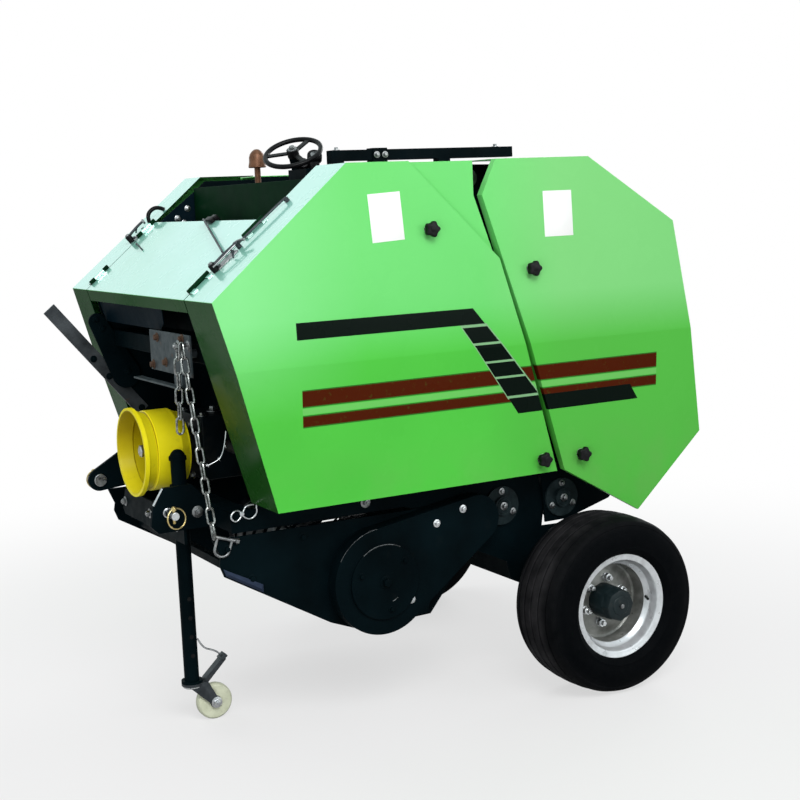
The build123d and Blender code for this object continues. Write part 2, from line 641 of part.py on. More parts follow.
def gate_wall():
    """Tailgate side wall, hung on the pivot shaft, with the arms of the cover's hinge."""
    wall = slab_x(GATE_WALL_OUTLINE, GATE_WALL_INNER, GATE_WALL_INNER + WALL_SHEET)
    wall -= rod_x(PIVOT, GATE_WALL_INNER - 1, GATE_WALL_INNER + WALL_SHEET + 1, PIVOT_RADIUS + BORE_FIT)
    frame = hinge_frame(GATE_SHOULDER, GATE_WAIST)
    hinge_x = SEAM_REAR - PANEL_GAP / 2
    for station in REAR_HINGE_STATIONS:
        arm_x = GATE_WALL_INNER + WALL_SHEET / 2
        arm = Pos(arm_x, GATE_HINGE_ARM_Y, station) * Box(WALL_SHEET, GATE_HINGE_ARM, HINGE_LENGTH)
        barrel = Pos(hinge_x, -HINGE_RADIUS, station) * Cylinder(HINGE_RADIUS, HINGE_LENGTH)
        wall += frame * (arm + barrel)
    return wall


# ---------------------------------------------------------------- pickup
def pickup_plate():
    """Side plate of the pickup, from the chain's eye to the pivot."""
    plate = slab_x(PICKUP_OUTLINE, PICKUP_PLATE_INNER, PICKUP_PLATE_INNER + PICKUP_PLATE)
    plate += rod_x(REEL, PICKUP_PLATE_INNER, PICKUP_PLATE_INNER + PICKUP_PLATE, PICKUP_END_RADIUS)
    face = Plane.YZ.offset(PICKUP_PLATE_INNER + PICKUP_PLATE) * make_face(Polyline(*PICKUP_LIP, close=True))
    plate += extrude(face, amount=PICKUP_LIP_RISE, dir=(1, 0, 0), taper=45)
    outer = PICKUP_PLATE_INNER + PICKUP_PLATE + 1
    plate -= rod_x(PICKUP_PIVOT, PICKUP_PLATE_INNER - 1, outer, PICKUP_PIN_RADIUS + BORE_FIT)
    plate -= rod_x(REEL, PICKUP_PLATE_INNER - 1, outer, REEL_SHAFT_RADIUS + BORE_FIT)
    return plate


def band_x(index):
    """Middle of a stripper band; the tines run half way between."""
    spacing = 2 * REEL_HALF_LENGTH / (TINE_COUNT + 1)
    return -REEL_HALF_LENGTH + spacing * (index + 0.5)


def bands():
    """Hairpin stripper bands round the reel, on two cross tubes."""
    width = BAND_SHARE * 2 * REEL_HALF_LENGTH / (TINE_COUNT + 1)
    shapes = None
    for index in range(TINE_COUNT + 1):
        x_low = band_x(index) - width / 2
        x_high = x_low + width
        ring = rod_x(REEL, x_low, x_high, BAND_RADIUS)
        core = BAND_RADIUS - BAND_SHEET
        legs = block((x_low, REEL[0], REEL[1] - BAND_RADIUS), (x_high, BAND_REAR_Y, REEL[1] + BAND_RADIUS))
        gap = block((x_low - 1, REEL[0], REEL[1] - core), (x_high + 1, BAND_REAR_Y + 1, REEL[1] + core))
        band = (ring + legs) - rod_x(REEL, x_low - 1, x_high + 1, core) - gap
        shapes = band if shapes is None else shapes + band
    return shapes


def pickup_bars():
    """Cross tubes between the pickup's side plates; the bands' legs lie on the rear two."""
    rise = BAND_RADIUS + FIT + PICKUP_TUBE / 2
    places = ((PICKUP_REAR_TUBES_Y, REEL[1] + rise), (PICKUP_REAR_TUBES_Y, REEL[1] - rise), PICKUP_FRONT_TUBE)
    return [square_tube_x(place, PICKUP_PLATE_INNER, PICKUP_TUBE, PICKUP_TUBE, TUBE_WALL) for place in places]


def chain_guard():
    """Tapered guard over the reel drive, with a raised round face."""
    inner = PICKUP_PLATE_INNER + PICKUP_PLATE + FIT
    outer = inner + CHAIN_GUARD_WIDTH
    guard = hull_of_circles(REEL, PICKUP_END_RADIUS, PICKUP_PIVOT, CHAIN_GUARD_REAR_RADIUS, inner, outer)
    lug = slab_x(CHAIN_GUARD_LUG, inner, outer)
    return guard + lug + rod_x(REEL, outer, outer + CHAIN_GUARD_DISC, CHAIN_GUARD_DISC_RADIUS)


def reel():
    """Shaft, end discs, tine bars and tines."""
    shape = rod_x(REEL, -PICKUP_PLATE_INNER - PICKUP_PLATE, PICKUP_PLATE_INNER + PICKUP_PLATE, REEL_SHAFT_RADIUS)
    spacing = 2 * REEL_HALF_LENGTH / (TINE_COUNT + 1)
    for x in (-REEL_HALF_LENGTH, REEL_HALF_LENGTH - REEL_DISC):
        shape += rod_x(REEL, x, x + REEL_DISC, REEL_DISC_RADIUS)
    for bar in range(REEL_BARS):
        turn = 2 * math.pi * bar / REEL_BARS + math.pi / 4
        bar_place = (REEL[0] + REEL_BAR_RADIUS * math.cos(turn), REEL[1] + REEL_BAR_RADIUS * math.sin(turn))
        tip = (REEL[0] + REEL_TIP_RADIUS * math.cos(turn), REEL[1] + REEL_TIP_RADIUS * math.sin(turn))
        shape += rod_x(bar_place, -REEL_HALF_LENGTH, REEL_HALF_LENGTH, REEL_BAR)
        for tine in range(TINE_COUNT):
            x = -REEL_HALF_LENGTH + spacing * (tine + 1)
            shape += rod((x, *bar_place), (x, *tip), TINE_RADIUS)
    return shape


def oval(straight, radius):
    """Corners of a long oval whose round ends are a few flats."""
    step = math.pi / CHAIN_END_SIDES
    turns = [step * i for i in range(CHAIN_END_SIDES + 1)]
    upper = [(radius * math.cos(t), straight / 2 + radius * math.sin(t)) for t in turns]
    return upper + [(-across, -along) for across, along in upper]


def chain_link(place, along, across, pitch):
    """One long link centred on a place, sized to bite into the next at a pitch."""
    frame = Plane(origin=place, x_dir=across, z_dir=along)
    flat = Plane(origin=place, x_dir=frame.x_dir, z_dir=frame.y_dir)
    straight = pitch - CHAIN_BITE + 2 * CHAIN_WIRE - 2 * CHAIN_HALF_WIDTH
    outside = make_face(Polyline(*oval(straight, CHAIN_HALF_WIDTH), close=True))
    hole = make_face(Polyline(*oval(straight, CHAIN_HALF_WIDTH - CHAIN_WIRE), close=True))
    return extrude(flat * (outside - hole), amount=CHAIN_WIRE / 2, both=True)


def chain_strand(start, along, pitch, count):
    """Links in a row, each a quarter turn from the last."""
    shape = None
    for i in range(count):
        place = start + along * (pitch * (i + 0.5) - HOOK_RADIUS)
        link = chain_link(place, along, (0, 1, 0) if i % 2 else (1, 0, 0), pitch)
        shape = link if shape is None else shape + link
    return shape


def shackle(x):
    """Pin and a flat bow with two legs, against the pickup's side plate."""
    head, end = SHACKLE_PIN
    run = (Vector(*end) - Vector(*head)).normalized()
    down = Vector(run.Y, -run.X)
    tops = [Vector(*between(head, end, share)) for share in SHACKLE_LEGS]
    feet = [top + down * SHACKLE_LEG for top in tops]
    span = feet[1] - feet[0]
    bow = [feet[0] + span * share + down * SHACKLE_BOW for share in (0.25, 0.75)]
    outside = [(here.X, here.Y) for here in (tops[0], feet[0], *bow, feet[1], tops[1])]
    inside = [Vector(*here) for here in inset(outside, SHACKLE_WIRE)]
    for end_corner in (0, -1):
        inside[end_corner] -= down * SHACKLE_WIRE
    inside = [(here.X, here.Y) for here in inside]
    low, high = x - SHACKLE_WIRE / 2, x + SHACKLE_WIRE / 2
    return rod((x, *head), (x, *end), HOOK_RADIUS) + (slab_x(outside, low, high) - slab_x(inside, low, high))


def lift_chain():
    """Chain that holds the pickup up, with its hook, its spare end and its shackle."""
    x = PICKUP_PLATE_INNER + PICKUP_PLATE + FIT + HOOK_RADIUS
    start = Vector(*CHAIN_TOP)
    run = Vector(x, *between(*SHACKLE_PIN, 0.05)) - start
    pitch = (run.length + 2 * HOOK_RADIUS) / CHAIN_LINKS
    hook_y = PLATE_Y - FIT
    hook = rod((CHAIN_TOP[0], hook_y - HOOK_LENGTH, CHAIN_TOP[2]), (CHAIN_TOP[0], hook_y, CHAIN_TOP[2]),
               HOOK_RADIUS)
    spare = chain_strand(start + Vector(*SPARE_OFFSET), Vector(*SPARE_LEAN).normalized(), pitch, SPARE_LINKS)
    return hook + chain_strand(start, run.normalized(), pitch, CHAIN_LINKS) + spare + shackle(x)


# ---------------------------------------------------------------- nose, box and top
def nose_panel():
    """Sloping panel between the front covers, with a lip and the hinges' middle barrels."""
    left = SEAM_LEFT - PANEL_GAP
    right = -(SEAM_RIGHT - PANEL_GAP)
    slope = (NOSE_TOP[1] - NOSE_TIP[1]) / (NOSE_TOP[0] - NOSE_TIP[0])
    end = (NOSE_PANEL_END, NOSE_TIP[1] + slope * (NOSE_PANEL_END - NOSE_TIP[0]))
    inner = inset((NOSE_BOTTOM, NOSE_TIP, NOSE_TOP, TOP_END, (TOP_END[0], COVER_BOTTOM_Z)), NOSE_SHEET)
    drop = NOSE_SHEET * math.hypot(1, slope)
    lip = between(NOSE_TIP, NOSE_BOTTOM, NOSE_LIP / (NOSE_TIP[1] - NOSE_BOTTOM[1]))
    lip_inner = between(inner[1], inner[0], NOSE_LIP / (NOSE_TIP[1] - NOSE_BOTTOM[1]))
    outline = (NOSE_TIP, end, (end[0], end[1] - drop), inner[1], lip_inner, lip)
    panel = slab_x(outline, right, left)
    frame = hinge_frame(NOSE_TIP, NOSE_TOP)
    left_x = SEAM_LEFT - PANEL_GAP / 2
    right_x = -(SEAM_RIGHT - PANEL_GAP / 2)
    panel += knuckles(frame, left_x, FRONT_HINGE_STATIONS, HINGE_LENGTH, (0,), -1)
    panel += knuckles(frame, right_x, FRONT_HINGE_STATIONS, HINGE_LENGTH, (0,), 1)
    return panel


def twine_box():
    """Open-topped box for the twine balls, under the slope."""
    slope = (NOSE_TOP[1] - NOSE_TIP[1]) / (NOSE_TOP[0] - NOSE_TIP[0])
    front = NOSE_PANEL_END + BOX_SHEET
    drop = (NOSE_SHEET + FIT) * math.hypot(1, slope)
    rear = BOX_REAR_Y - FIT

    def under(y):
        return NOSE_TIP[1] + slope * (y - NOSE_TIP[0]) - drop

    outline = ((front - BOX_SHEET - 8, BOX_BOTTOM_Z), (front - BOX_SHEET - 8, under(front - BOX_SHEET - 8)),
               (rear, under(rear) - 12), (rear, BOX_BOTTOM_Z))
    box = slab_x(outline, -WALL_INNER, WALL_INNER)
    inner = block((-WALL_INNER + BOX_SHEET, front - 8, BOX_BOTTOM_Z + BOX_SHEET),
                  (WALL_INNER - BOX_SHEET, rear + 1, COVER_TOP_Z))
    return box - inner


def cross_panel():
    """Upright panel behind the twine box, with a folded top edge."""
    rear = BOX_REAR_Y + BOX_SHEET
    left = SEAM_LEFT - PANEL_GAP
    sheet = block((-WALL_INNER, BOX_REAR_Y, BOX_BOTTOM_Z), (WALL_INNER, rear, CROSS_PANEL_STEP_Z))
    top = block((-WALL_INNER, BOX_REAR_Y, CROSS_PANEL_STEP_Z), (left, rear, CROSS_PANEL_TOP_Z))
    fold = block((-WALL_INNER, BOX_REAR_Y, CROSS_PANEL_TOP_Z - BOX_SHEET),
                 (left, BOX_REAR_Y + CROSS_PANEL_FOLD, CROSS_PANEL_TOP_Z))
    return sheet + top + fold


def handwheel():
    """Spoked handwheel on a leaning shaft."""
    frame = Plane(origin=HANDWHEEL_CENTRE, z_dir=HANDWHEEL_AXIS)
    wheel = Torus(HANDWHEEL_RADIUS, HANDWHEEL_RIM) + Cylinder(HANDWHEEL_HUB_RADIUS, HANDWHEEL_HUB)
    for i in range(HANDWHEEL_SPOKES):
        spoke = Rot(0, 0, 360 * i / HANDWHEEL_SPOKES) * Pos(HANDWHEEL_RADIUS / 2, 0, 0)
        wheel += spoke * Box(HANDWHEEL_RADIUS, *HANDWHEEL_SPOKE)
    wheel -= Pos(0, 0, -HANDWHEEL_HUB / 2) * Cylinder(HANDWHEEL_SHAFT_RADIUS + BORE_FIT, HANDWHEEL_HUB)
    return frame * wheel


def twine_gear():
    """Housing and leaning post of the twine guide's handwheel."""
    frame = Plane(origin=HANDWHEEL_CENTRE, z_dir=HANDWHEEL_AXIS)
    post_top = -HANDWHEEL_HUB / 2 - FIT
    post = Pos(0, 0, post_top - HANDWHEEL_POST_LENGTH / 2) * Cylinder(HANDWHEEL_POST_RADIUS, HANDWHEEL_POST_LENGTH)
    shaft = Pos(0, 0, -HANDWHEEL_HUB / 2) * Cylinder(HANDWHEEL_SHAFT_RADIUS, HANDWHEEL_HUB - 2)
    housing = block((GEAR_HOUSING_X[0], GEAR_HOUSING_Y[0], DECK_Z),
                    (GEAR_HOUSING_X[1], GEAR_HOUSING_Y[1], DECK_Z + GEAR_HOUSING))
    return frame * (post + shaft) + housing


def signal_bell():
    """Domed bell on a short post."""
    base = DECK_Z + BELL_POST
    shoulder = base + BELL_SKIRT
    top = base + BELL_HEIGHT
    profile = [(0, DECK_Z), (BELL_POST_RADIUS, DECK_Z), (BELL_POST_RADIUS, base), (BELL_RADIUS, base),
               (BELL_RADIUS, shoulder), (BELL_RADIUS * 0.7, shoulder + (top - shoulder) * 0.75), (0, top)]
    return turned_z(profile, *BELL)


def top_bar():
    """Square bar along the top, on a foot on the deck and a saddle on the pivot shaft."""
    half = TOP_BAR_SIDE / 2
    low = DECK_Z + TOP_BAR_FOOT
    high = low + TOP_BAR_SIDE
    bar = block((TOP_BAR_X - half, TOP_BAR_FRONT_Y, low), (TOP_BAR_X + half, TOP_BAR_REAR_Y, high))
    foot = block((TOP_BAR_X - half, TOP_BAR_FRONT_Y, DECK_Z), (TOP_BAR_X + half, TOP_BAR_FRONT_Y + TOP_BAR_LEG, low))
    saddle = block((TOP_BAR_X - half, PIVOT[0] - TOP_BAR_LEG / 2, PIVOT[1]),
                   (TOP_BAR_X + half, PIVOT[0] + TOP_BAR_LEG / 2, low))
    wide = half + TOP_BAR_CLAMP
    clamp = block((TOP_BAR_X - wide, TOP_BAR_CLAMP_Y[0], low - 2 * TOP_BAR_CLAMP),
                  (TOP_BAR_X + wide, TOP_BAR_CLAMP_Y[1], high + TOP_BAR_CLAMP))
    bore = rod_x(PIVOT, TOP_BAR_X - TOP_BAR_SIDE, TOP_BAR_X + TOP_BAR_SIDE, PIVOT_RADIUS + FIT)
    return bar + foot + saddle + clamp - bore


# ---------------------------------------------------------------- hitch and drive
def pto_guard():
    """Flared yellow guard round the input shaft."""
    wall = GUARD_SHEET
    profile = [(GUARD_BACK_RADIUS - wall, GUARD_BACK_Y), (GUARD_BACK_RADIUS, GUARD_BACK_Y),
               (GUARD_BODY_RADIUS, GUARD_ROUND_Y), (GUARD_BODY_RADIUS, GUARD_NECK_Y + wall),
               (GUARD_NECK_RADIUS, GUARD_NECK_Y), (GUARD_FRONT_RADIUS, GUARD_FRONT_Y + GUARD_RIM_WIDTH),
               (GUARD_RIM_RADIUS, GUARD_FRONT_Y + GUARD_RIM_WIDTH), (GUARD_RIM_RADIUS, GUARD_FRONT_Y),
               (GUARD_FRONT_RADIUS - wall, GUARD_FRONT_Y), (GUARD_NECK_RADIUS - wall, GUARD_NECK_Y),
               (GUARD_BODY_RADIUS - wall, GUARD_NECK_Y + wall), (GUARD_BODY_RADIUS - wall, GUARD_ROUND_Y)]
    cone = turned_y(profile, 0, PTO_Z)
    back = turned_y([(GEARBOX_SNOUT_RADIUS + FIT, GUARD_BACK_Y), (GUARD_BACK_RADIUS, GUARD_BACK_Y),
                     (GUARD_BACK_RADIUS, GUARD_BACK_Y + wall), (GEARBOX_SNOUT_RADIUS + FIT, GUARD_BACK_Y + wall)],
                    0, PTO_Z)
    return cone + back


def gearbox():
    """Bevel gearbox on the bulkhead, with its snout and the cross shaft to the chain drive."""
    front = GUARD_BACK_Y + GUARD_SHEET + GEARBOX_FRONT_GAP
    back = BULKHEAD_Y - BULKHEAD_SHEET
    body = block((-GEARBOX_HALF_WIDTH, front + GEARBOX_SNOUT, PTO_Z - GEARBOX_HALF_HEIGHT),
                 (GEARBOX_HALF_WIDTH, back, PTO_Z + GEARBOX_HALF_HEIGHT))
    snout = rod((0, front + GEARBOX_SNOUT, PTO_Z), (0, GUARD_BACK_Y - 6, PTO_Z), GEARBOX_SNOUT_RADIUS)
    bore = rod((0, GUARD_BACK_Y - 20, PTO_Z), (0, front + GEARBOX_BORE_DEPTH, PTO_Z), PTO_JOURNAL_RADIUS + BORE_FIT)
    return body + snout - bore


def cross_shaft():
    """Shaft from the gearbox to the sprocket outside the left wall."""
    place = (CROSS_SHAFT_Y, PTO_Z)
    shaft = rod_x(place, GEARBOX_HALF_WIDTH, DRIVE_X[0] + CROSS_SHAFT_END, CROSS_SHAFT_RADIUS)
    return shaft + rod_x(place, DRIVE_X[0], DRIVE_X[0] + DRIVE_CHAIN_WIDTH, SPROCKET_RADIUS)


def drive_chain():
    """Sprockets on the front rollers' left ends, with the chain loops round them."""
    boss_x = WALL_INNER + WALL_SHEET + BEARING_PLATE + BEARING_NOSE + FIT
    first, second, third = (roller_place(angle) for angle in DRIVEN_ROLLERS)
    shape = None
    for place in (first, second, third):
        boss = rod_x(place, boss_x, DRIVE_X[1] + DRIVE_CHAIN_WIDTH + FIT, ROLLER_SHAFT)
        shape = boss if shape is None else shape + boss
    loops = (((CROSS_SHAFT_Y, PTO_Z), SPROCKET_RADIUS + FIT, first, DRIVEN_RADIUS, DRIVE_X[0]),
             (first, DRIVEN_RADIUS, second, DRIVEN_RADIUS + 1, DRIVE_X[1]),
             (second, DRIVEN_RADIUS, third, DRIVEN_RADIUS + 1, DRIVE_X[0]))
    for start, start_radius, end, end_radius, x in loops:
        far = x + DRIVE_CHAIN_WIDTH
        outer = hull_of_circles(start, start_radius + DRIVE_CHAIN, end, end_radius + DRIVE_CHAIN, x, far)
        shape += outer - hull_of_circles(start, start_radius, end, end_radius, x - 1, far + 1)
        shape += rod_x(end, x, far, end_radius + 1)
        if start == first or start == second:
            shape += rod_x(start, x, far, start_radius + 1)
    return shape


def pto_shaft():
    """Input shaft that turns in the gearbox's snout."""
    step = PTO_SHAFT_TIP_Y + PTO_SHAFT_FREE
    journal = rod((0, step, PTO_Z), (0, GUARD_BACK_Y + GUARD_SHEET + PTO_JOURNAL_DEPTH, PTO_Z), PTO_JOURNAL_RADIUS)
    return journal + rod((0, PTO_SHAFT_TIP_Y, PTO_Z), (0, step, PTO_Z), PTO_SHAFT_RADIUS)


def hitch_beam():
    """Lower cross beam with the two lower link ears and the jack's bracket."""
    beam = square_tube_x((BEAM_Y, BEAM_Z), WALL_INNER, BEAM_DEPTH, BEAM_HEIGHT, TUBE_WALL)
    inner = EAR_X - EAR_SHEET / 2
    outer = EAR_X + EAR_SHEET / 2
    near_ear = slab_x(EAR_OUTLINE, inner, outer)
    far_ear = hull_of_circles(FAR_EAR_ROOT, FAR_EAR_ROOT_RADIUS, LINK_PIN, FAR_EAR_RADIUS, inner, outer)
    for ear, sign in ((near_ear, 1), (far_ear, -1)):
        ear -= rod_x(LINK_PIN, inner - 1, outer + 1, LINK_PIN_SHANK_RADIUS + FIT)
        beam += on_side(ear, sign)
    front = BEAM_Y - BEAM_DEPTH / 2
    width, height = JACK_BRACKET
    bracket = block((JACK_X - width / 2, JACK_Y, BEAM_Z - height / 2), (JACK_X + width / 2, front, BEAM_Z + height / 2))
    bracket -= rod((JACK_X, JACK_Y, JACK_SLEEVE_Z[0]), (JACK_X, JACK_Y, JACK_SLEEVE_Z[1]), JACK_SLEEVE_RADIUS + FIT)
    draw_plate = slab_y(DRAW_PLATE_OUTLINE, *DRAW_PLATE_Y)
    rib_low = DRAW_PLATE_OUTLINE[0][1]
    rib_high = DRAW_PLATE_OUTLINE[-1][1]
    for x in DRAW_RIBS_X:
        draw_plate += block((x, DRAW_PLATE_Y[0], rib_low), (x + DRAW_RIB, front + TUBE_WALL, rib_high))
    return beam + bracket + draw_plate


def link_pin():
    """Lower link pin: free end outside the ear, shank in its hole and head inside it."""
    inner = EAR_X - EAR_SHEET / 2
    outer = EAR_X + EAR_SHEET / 2
    pin = rod_x(LINK_PIN, outer, outer + LINK_PIN_FREE, LINK_PIN_RADIUS)
    pin += rod_x(LINK_PIN, inner - FIT, outer, LINK_PIN_SHANK_RADIUS)
    return pin + rod_x(LINK_PIN, inner - FIT - LINK_PIN_HEAD, inner - FIT, LINK_PIN_HEAD_RADIUS)


def steel_plate():
    """Blank steel plate on two spacers in front of the upper cross tube."""
    back = CROSSBARS[0][0] - TUBE / 2
    plate = block((PLATE_X[0], PLATE_Y, PLATE_Z[0]), (PLATE_X[1], PLATE_Y + PLATE_SHEET, PLATE_Z[1]))
    for x in (PLATE_X[0] + PLATE_SPACER_INSET, PLATE_X[1] - PLATE_SPACER_INSET):
        plate += rod((x, PLATE_Y + PLATE_SHEET, CROSSBARS[0][1]), (x, back, CROSSBARS[0][1]), PLATE_SPACER)
    shelf = block((SHELF_X[0], SHELF_Y[0], SHELF_Z), (SHELF_X[1], SHELF_Y[1], SHELF_Z + SHELF_SHEET))
    tab = block((SHELF_X[1] - SHELF_TAB, SHELF_Y[1] - SHELF_SHEET, SHELF_Z),
                (SHELF_X[1], PLATE_Y + PLATE_SHEET, PLATE_Z[0] + SHELF_SHEET))
    return plate + shelf + tab


def guide_plate():
    """Sheet behind the nose's lip, on the right side wall, with a rounded corner."""
    heel, tip = inset((NOSE_BOTTOM, NOSE_TIP, NOSE_TOP, TOP_END, (TOP_END[0], COVER_BOTTOM_Z)), GUIDE_INSET)[:2]
    slope = (tip[0] - heel[0]) / (tip[1] - heel[1])
    front = [(heel[0] + (z - heel[1]) * slope, z) for z in GUIDE_Z]
    sheet = slab_x((front[0], front[1], (front[1][0] + GUIDE_SHEET, GUIDE_Z[1]), (front[0][0] + GUIDE_SHEET, GUIDE_Z[0])),
                   FIT - WALL_INNER, GUIDE_X)
    corner = [(GUIDE_X - dx, GUIDE_Z[0] + dz) for dx, dz in GUIDE_CORNER]
    outline = ((-WALL_INNER, GUIDE_Z[0]), *corner, (GUIDE_X, GUIDE_Z[1]), (-WALL_INNER, GUIDE_Z[1]))
    return sheet & slab_y(outline, front[1][0], front[0][0] + GUIDE_SHEET)


def tension_arm():
    """Tapered plate arm beside the hand lever, notched over the upper cross tube."""
    outer = WALL_INNER - 2 * FIT - LEVER_SHEET
    arm = hull_of_circles(ARM_FOOT, ARM_FOOT_RADIUS, ARM_TIP, ARM_TIP_RADIUS, outer - LEVER_SHEET, outer)
    notch = TUBE + 2 * FIT
    return mirrored(arm - Pos(outer, *CROSSBARS[0]) * Box(4 * LEVER_SHEET, notch, notch))


def hand_lever():
    """Flat bar lever on the right side wall's inner face, leaning forward out of the mouth."""
    run = Vector(*LEVER_TIP) - Vector(*LEVER_FOOT)
    side = Vector(-run.Y, run.X).normalized() * (LEVER_WIDTH / 2)
    foot, tip = Vector(*LEVER_FOOT), Vector(*LEVER_TIP)
    corners = [foot + side, tip + side, tip - side, foot - side]
    return slab_x([(c.X, c.Y) for c in corners], FIT - WALL_INNER, FIT - WALL_INNER + LEVER_SHEET)


# ---------------------------------------------------------------- jack
def jack_sleeve():
    """Sleeve that the jack's leg slides in."""
    low, high = JACK_SLEEVE_Z
    sleeve = rod((JACK_X, JACK_Y, low), (JACK_X, JACK_Y, high), JACK_SLEEVE_RADIUS)
    return sleeve - rod((JACK_X, JACK_Y, low - 1), (JACK_X, JACK_Y, high + 1), JACK_RADIUS + BORE_FIT)


def jack_leg():
    """Leg tube with a rounded top."""
    top = JACK_TOP_Z - JACK_RADIUS
    leg = rod((JACK_X, JACK_Y, SWIVEL_Z + SWIVEL_PLATE), (JACK_X, JACK_Y, top), JACK_RADIUS)
    foot = rod((JACK_X, JACK_Y, SWIVEL_Z), (JACK_X, JACK_Y, SWIVEL_Z + SWIVEL_PLATE), SWIVEL_RADIUS)
    return leg + Pos(JACK_X, JACK_Y, top) * Sphere(JACK_RADIUS) + foot


def caster_fork():
    """Swivel plate with a brake pedal and two cheeks that trail back to the wheel's pin."""
    top = SWIVEL_Z - FIT
    plate = rod((JACK_X, JACK_Y, top - FORK_PLATE), (JACK_X, JACK_Y, top), SWIVEL_RADIUS)
    pin_y = JACK_Y + CASTER_TRAIL
    inner = CASTER_WIDTH / 2 + FORK_GAP
    pedal = [(JACK_Y + dy, top + dz) for dy, dz in BRAKE_PEDAL]
    fork = plate + slab_x(pedal, JACK_X - BRAKE_PEDAL_HALF_WIDTH, JACK_X + BRAKE_PEDAL_HALF_WIDTH)
    for sign in (1, -1):
        x_low = JACK_X + (inner if sign > 0 else -inner - FORK_SHEET)
        outline = ((JACK_Y - 24, top), (JACK_Y + 40, top), (pin_y + 12, CASTER_RADIUS), (pin_y + 6, CASTER_RADIUS - 12),
                   (pin_y - 6, CASTER_RADIUS - 12))
        fork += slab_x(outline, x_low, x_low + FORK_SHEET)
    return fork + rod_x((pin_y, CASTER_RADIUS), JACK_X - inner - 6, JACK_X + inner + 6, CASTER_PIN_RADIUS)


def caster_wheel():
    """Nylon wheel with a slightly rounded tread."""
    half = CASTER_WIDTH / 2
    bore = CASTER_PIN_RADIUS + BORE_FIT
    profile = [(-half, bore), (-half, CASTER_RADIUS - 5), (-half + 6, CASTER_RADIUS), (half - 6, CASTER_RADIUS),
               (half, CASTER_RADIUS - 5), (half, bore)]
    return turned_x(profile, JACK_X, (JACK_Y + CASTER_TRAIL, CASTER_RADIUS))


# ---------------------------------------------------------------- assembly
for side, sign in SIDES:
    parts["tyre_" + side] = on_side(tyre(), sign)
    parts["rim_" + side] = on_side(rim(), sign)
    parts["hub_" + side] = on_side(hub(), sign)
    parts["side_wall_" + side] = on_side(side_wall(), sign)
    parts["gate_wall_" + side] = on_side(gate_wall(), sign)
    parts["upper_panel_" + side] = on_side(upper_panel(), sign)
    parts["cover_front_" + side] = on_side(front_cover(SEAM_LEFT if sign > 0 else SEAM_RIGHT), sign)
    parts["cover_rear_" + side] = on_side(rear_cover(), sign)
    parts["knobs_front_" + side] = [on_side(knob, sign) for knob in knobs(FRONT_KNOBS)]
    parts["knobs_rear_" + side] = [on_side(knob, sign) for knob in knobs(REAR_KNOBS)]
    parts["pickup_plate_" + side] = on_side(pickup_plate(), sign)

axle = square_tube_x((AXLE_Y, TYRE_RADIUS), AXLE_END_X, AXLE_TUBE, AXLE_TUBE, AXLE_TUBE_WALL)
stub_end = WHEEL_X - RIM_DISC_OFFSET + HUB_NOSE_LENGTH - HUB_CAP_WALL - 2
for sign in (1, -1):
    stub = rod_x((AXLE_Y, TYRE_RADIUS), AXLE_END_X - 40, stub_end, STUB_RADIUS)
    end_plate = block((AXLE_END_X - 6, AXLE_Y - AXLE_TUBE / 2, TYRE_RADIUS - AXLE_TUBE / 2),
                      (AXLE_END_X, AXLE_Y + AXLE_TUBE / 2, TYRE_RADIUS + AXLE_TUBE / 2))
    axle += on_side(stub + end_plate, sign)
parts["axle_beam"] = axle

parts["cross_tubes"] = [square_tube_x(place, WALL_INNER, TUBE, TUBE, TUBE_WALL) for place in CROSSBARS]
parts["bulkhead"] = block((-WALL_INNER, BULKHEAD_Y - BULKHEAD_SHEET, BULKHEAD_LOW_Z),
                          (WALL_INNER, BULKHEAD_Y, BULKHEAD_TOP_Z))
parts["inlet_floor"] = block((-WALL_INNER, INLET_FLOOR_Y[0], INLET_FLOOR_Z[0]),
                             (WALL_INNER, INLET_FLOOR_Y[1], INLET_FLOOR_Z[1]))
parts["deck"] = block((-WALL_INNER, BOX_REAR_Y + BOX_SHEET, DECK_Z - BOX_SHEET), (WALL_INNER, DECK_END_Y, DECK_Z))
pivot = rod_x(PIVOT, -GATE_WALL_INNER - WALL_SHEET - PIVOT_COLLAR, GATE_WALL_INNER + WALL_SHEET + PIVOT_COLLAR,
              PIVOT_RADIUS)
for sign in (1, -1):
    collar = rod_x(PIVOT, GATE_WALL_INNER + WALL_SHEET + FIT, GATE_WALL_INNER + WALL_SHEET + PIVOT_COLLAR,
                   PIVOT_COLLAR_RADIUS)
    pivot += on_side(collar, sign)
parts["pivot_shaft"] = pivot

parts["front_rollers"] = [roller(angle, WALL_INNER) for angle in FRONT_ROLLER_ANGLES]
parts["gate_rollers"] = [roller(angle, GATE_WALL_INNER) for angle in GATE_ROLLER_ANGLES]
parts["front_bearings"] = [on_side(bearing(roller_place(angle), WALL_INNER + WALL_SHEET), sign)
                           for angle in FRONT_ROLLER_ANGLES for sign in (1, -1)]
parts["gate_bearings"] = [on_side(bearing(roller_place(angle), GATE_WALL_INNER + WALL_SHEET), sign)
                          for angle in GATE_ROLLER_ANGLES for sign in (1, -1)]
parts["gate_tubes"] = [square_tube_x(place, GATE_WALL_INNER, TUBE, TUBE, TUBE_WALL)
                       for place in GATE_TUBES]

parts["nose_panel"] = nose_panel()
parts["twine_box"] = twine_box()
parts["cross_panel"] = cross_panel()
parts["handwheel"] = handwheel()
parts["twine_gear"] = twine_gear()
parts["signal_bell"] = signal_bell()
parts["top_bar"] = top_bar()

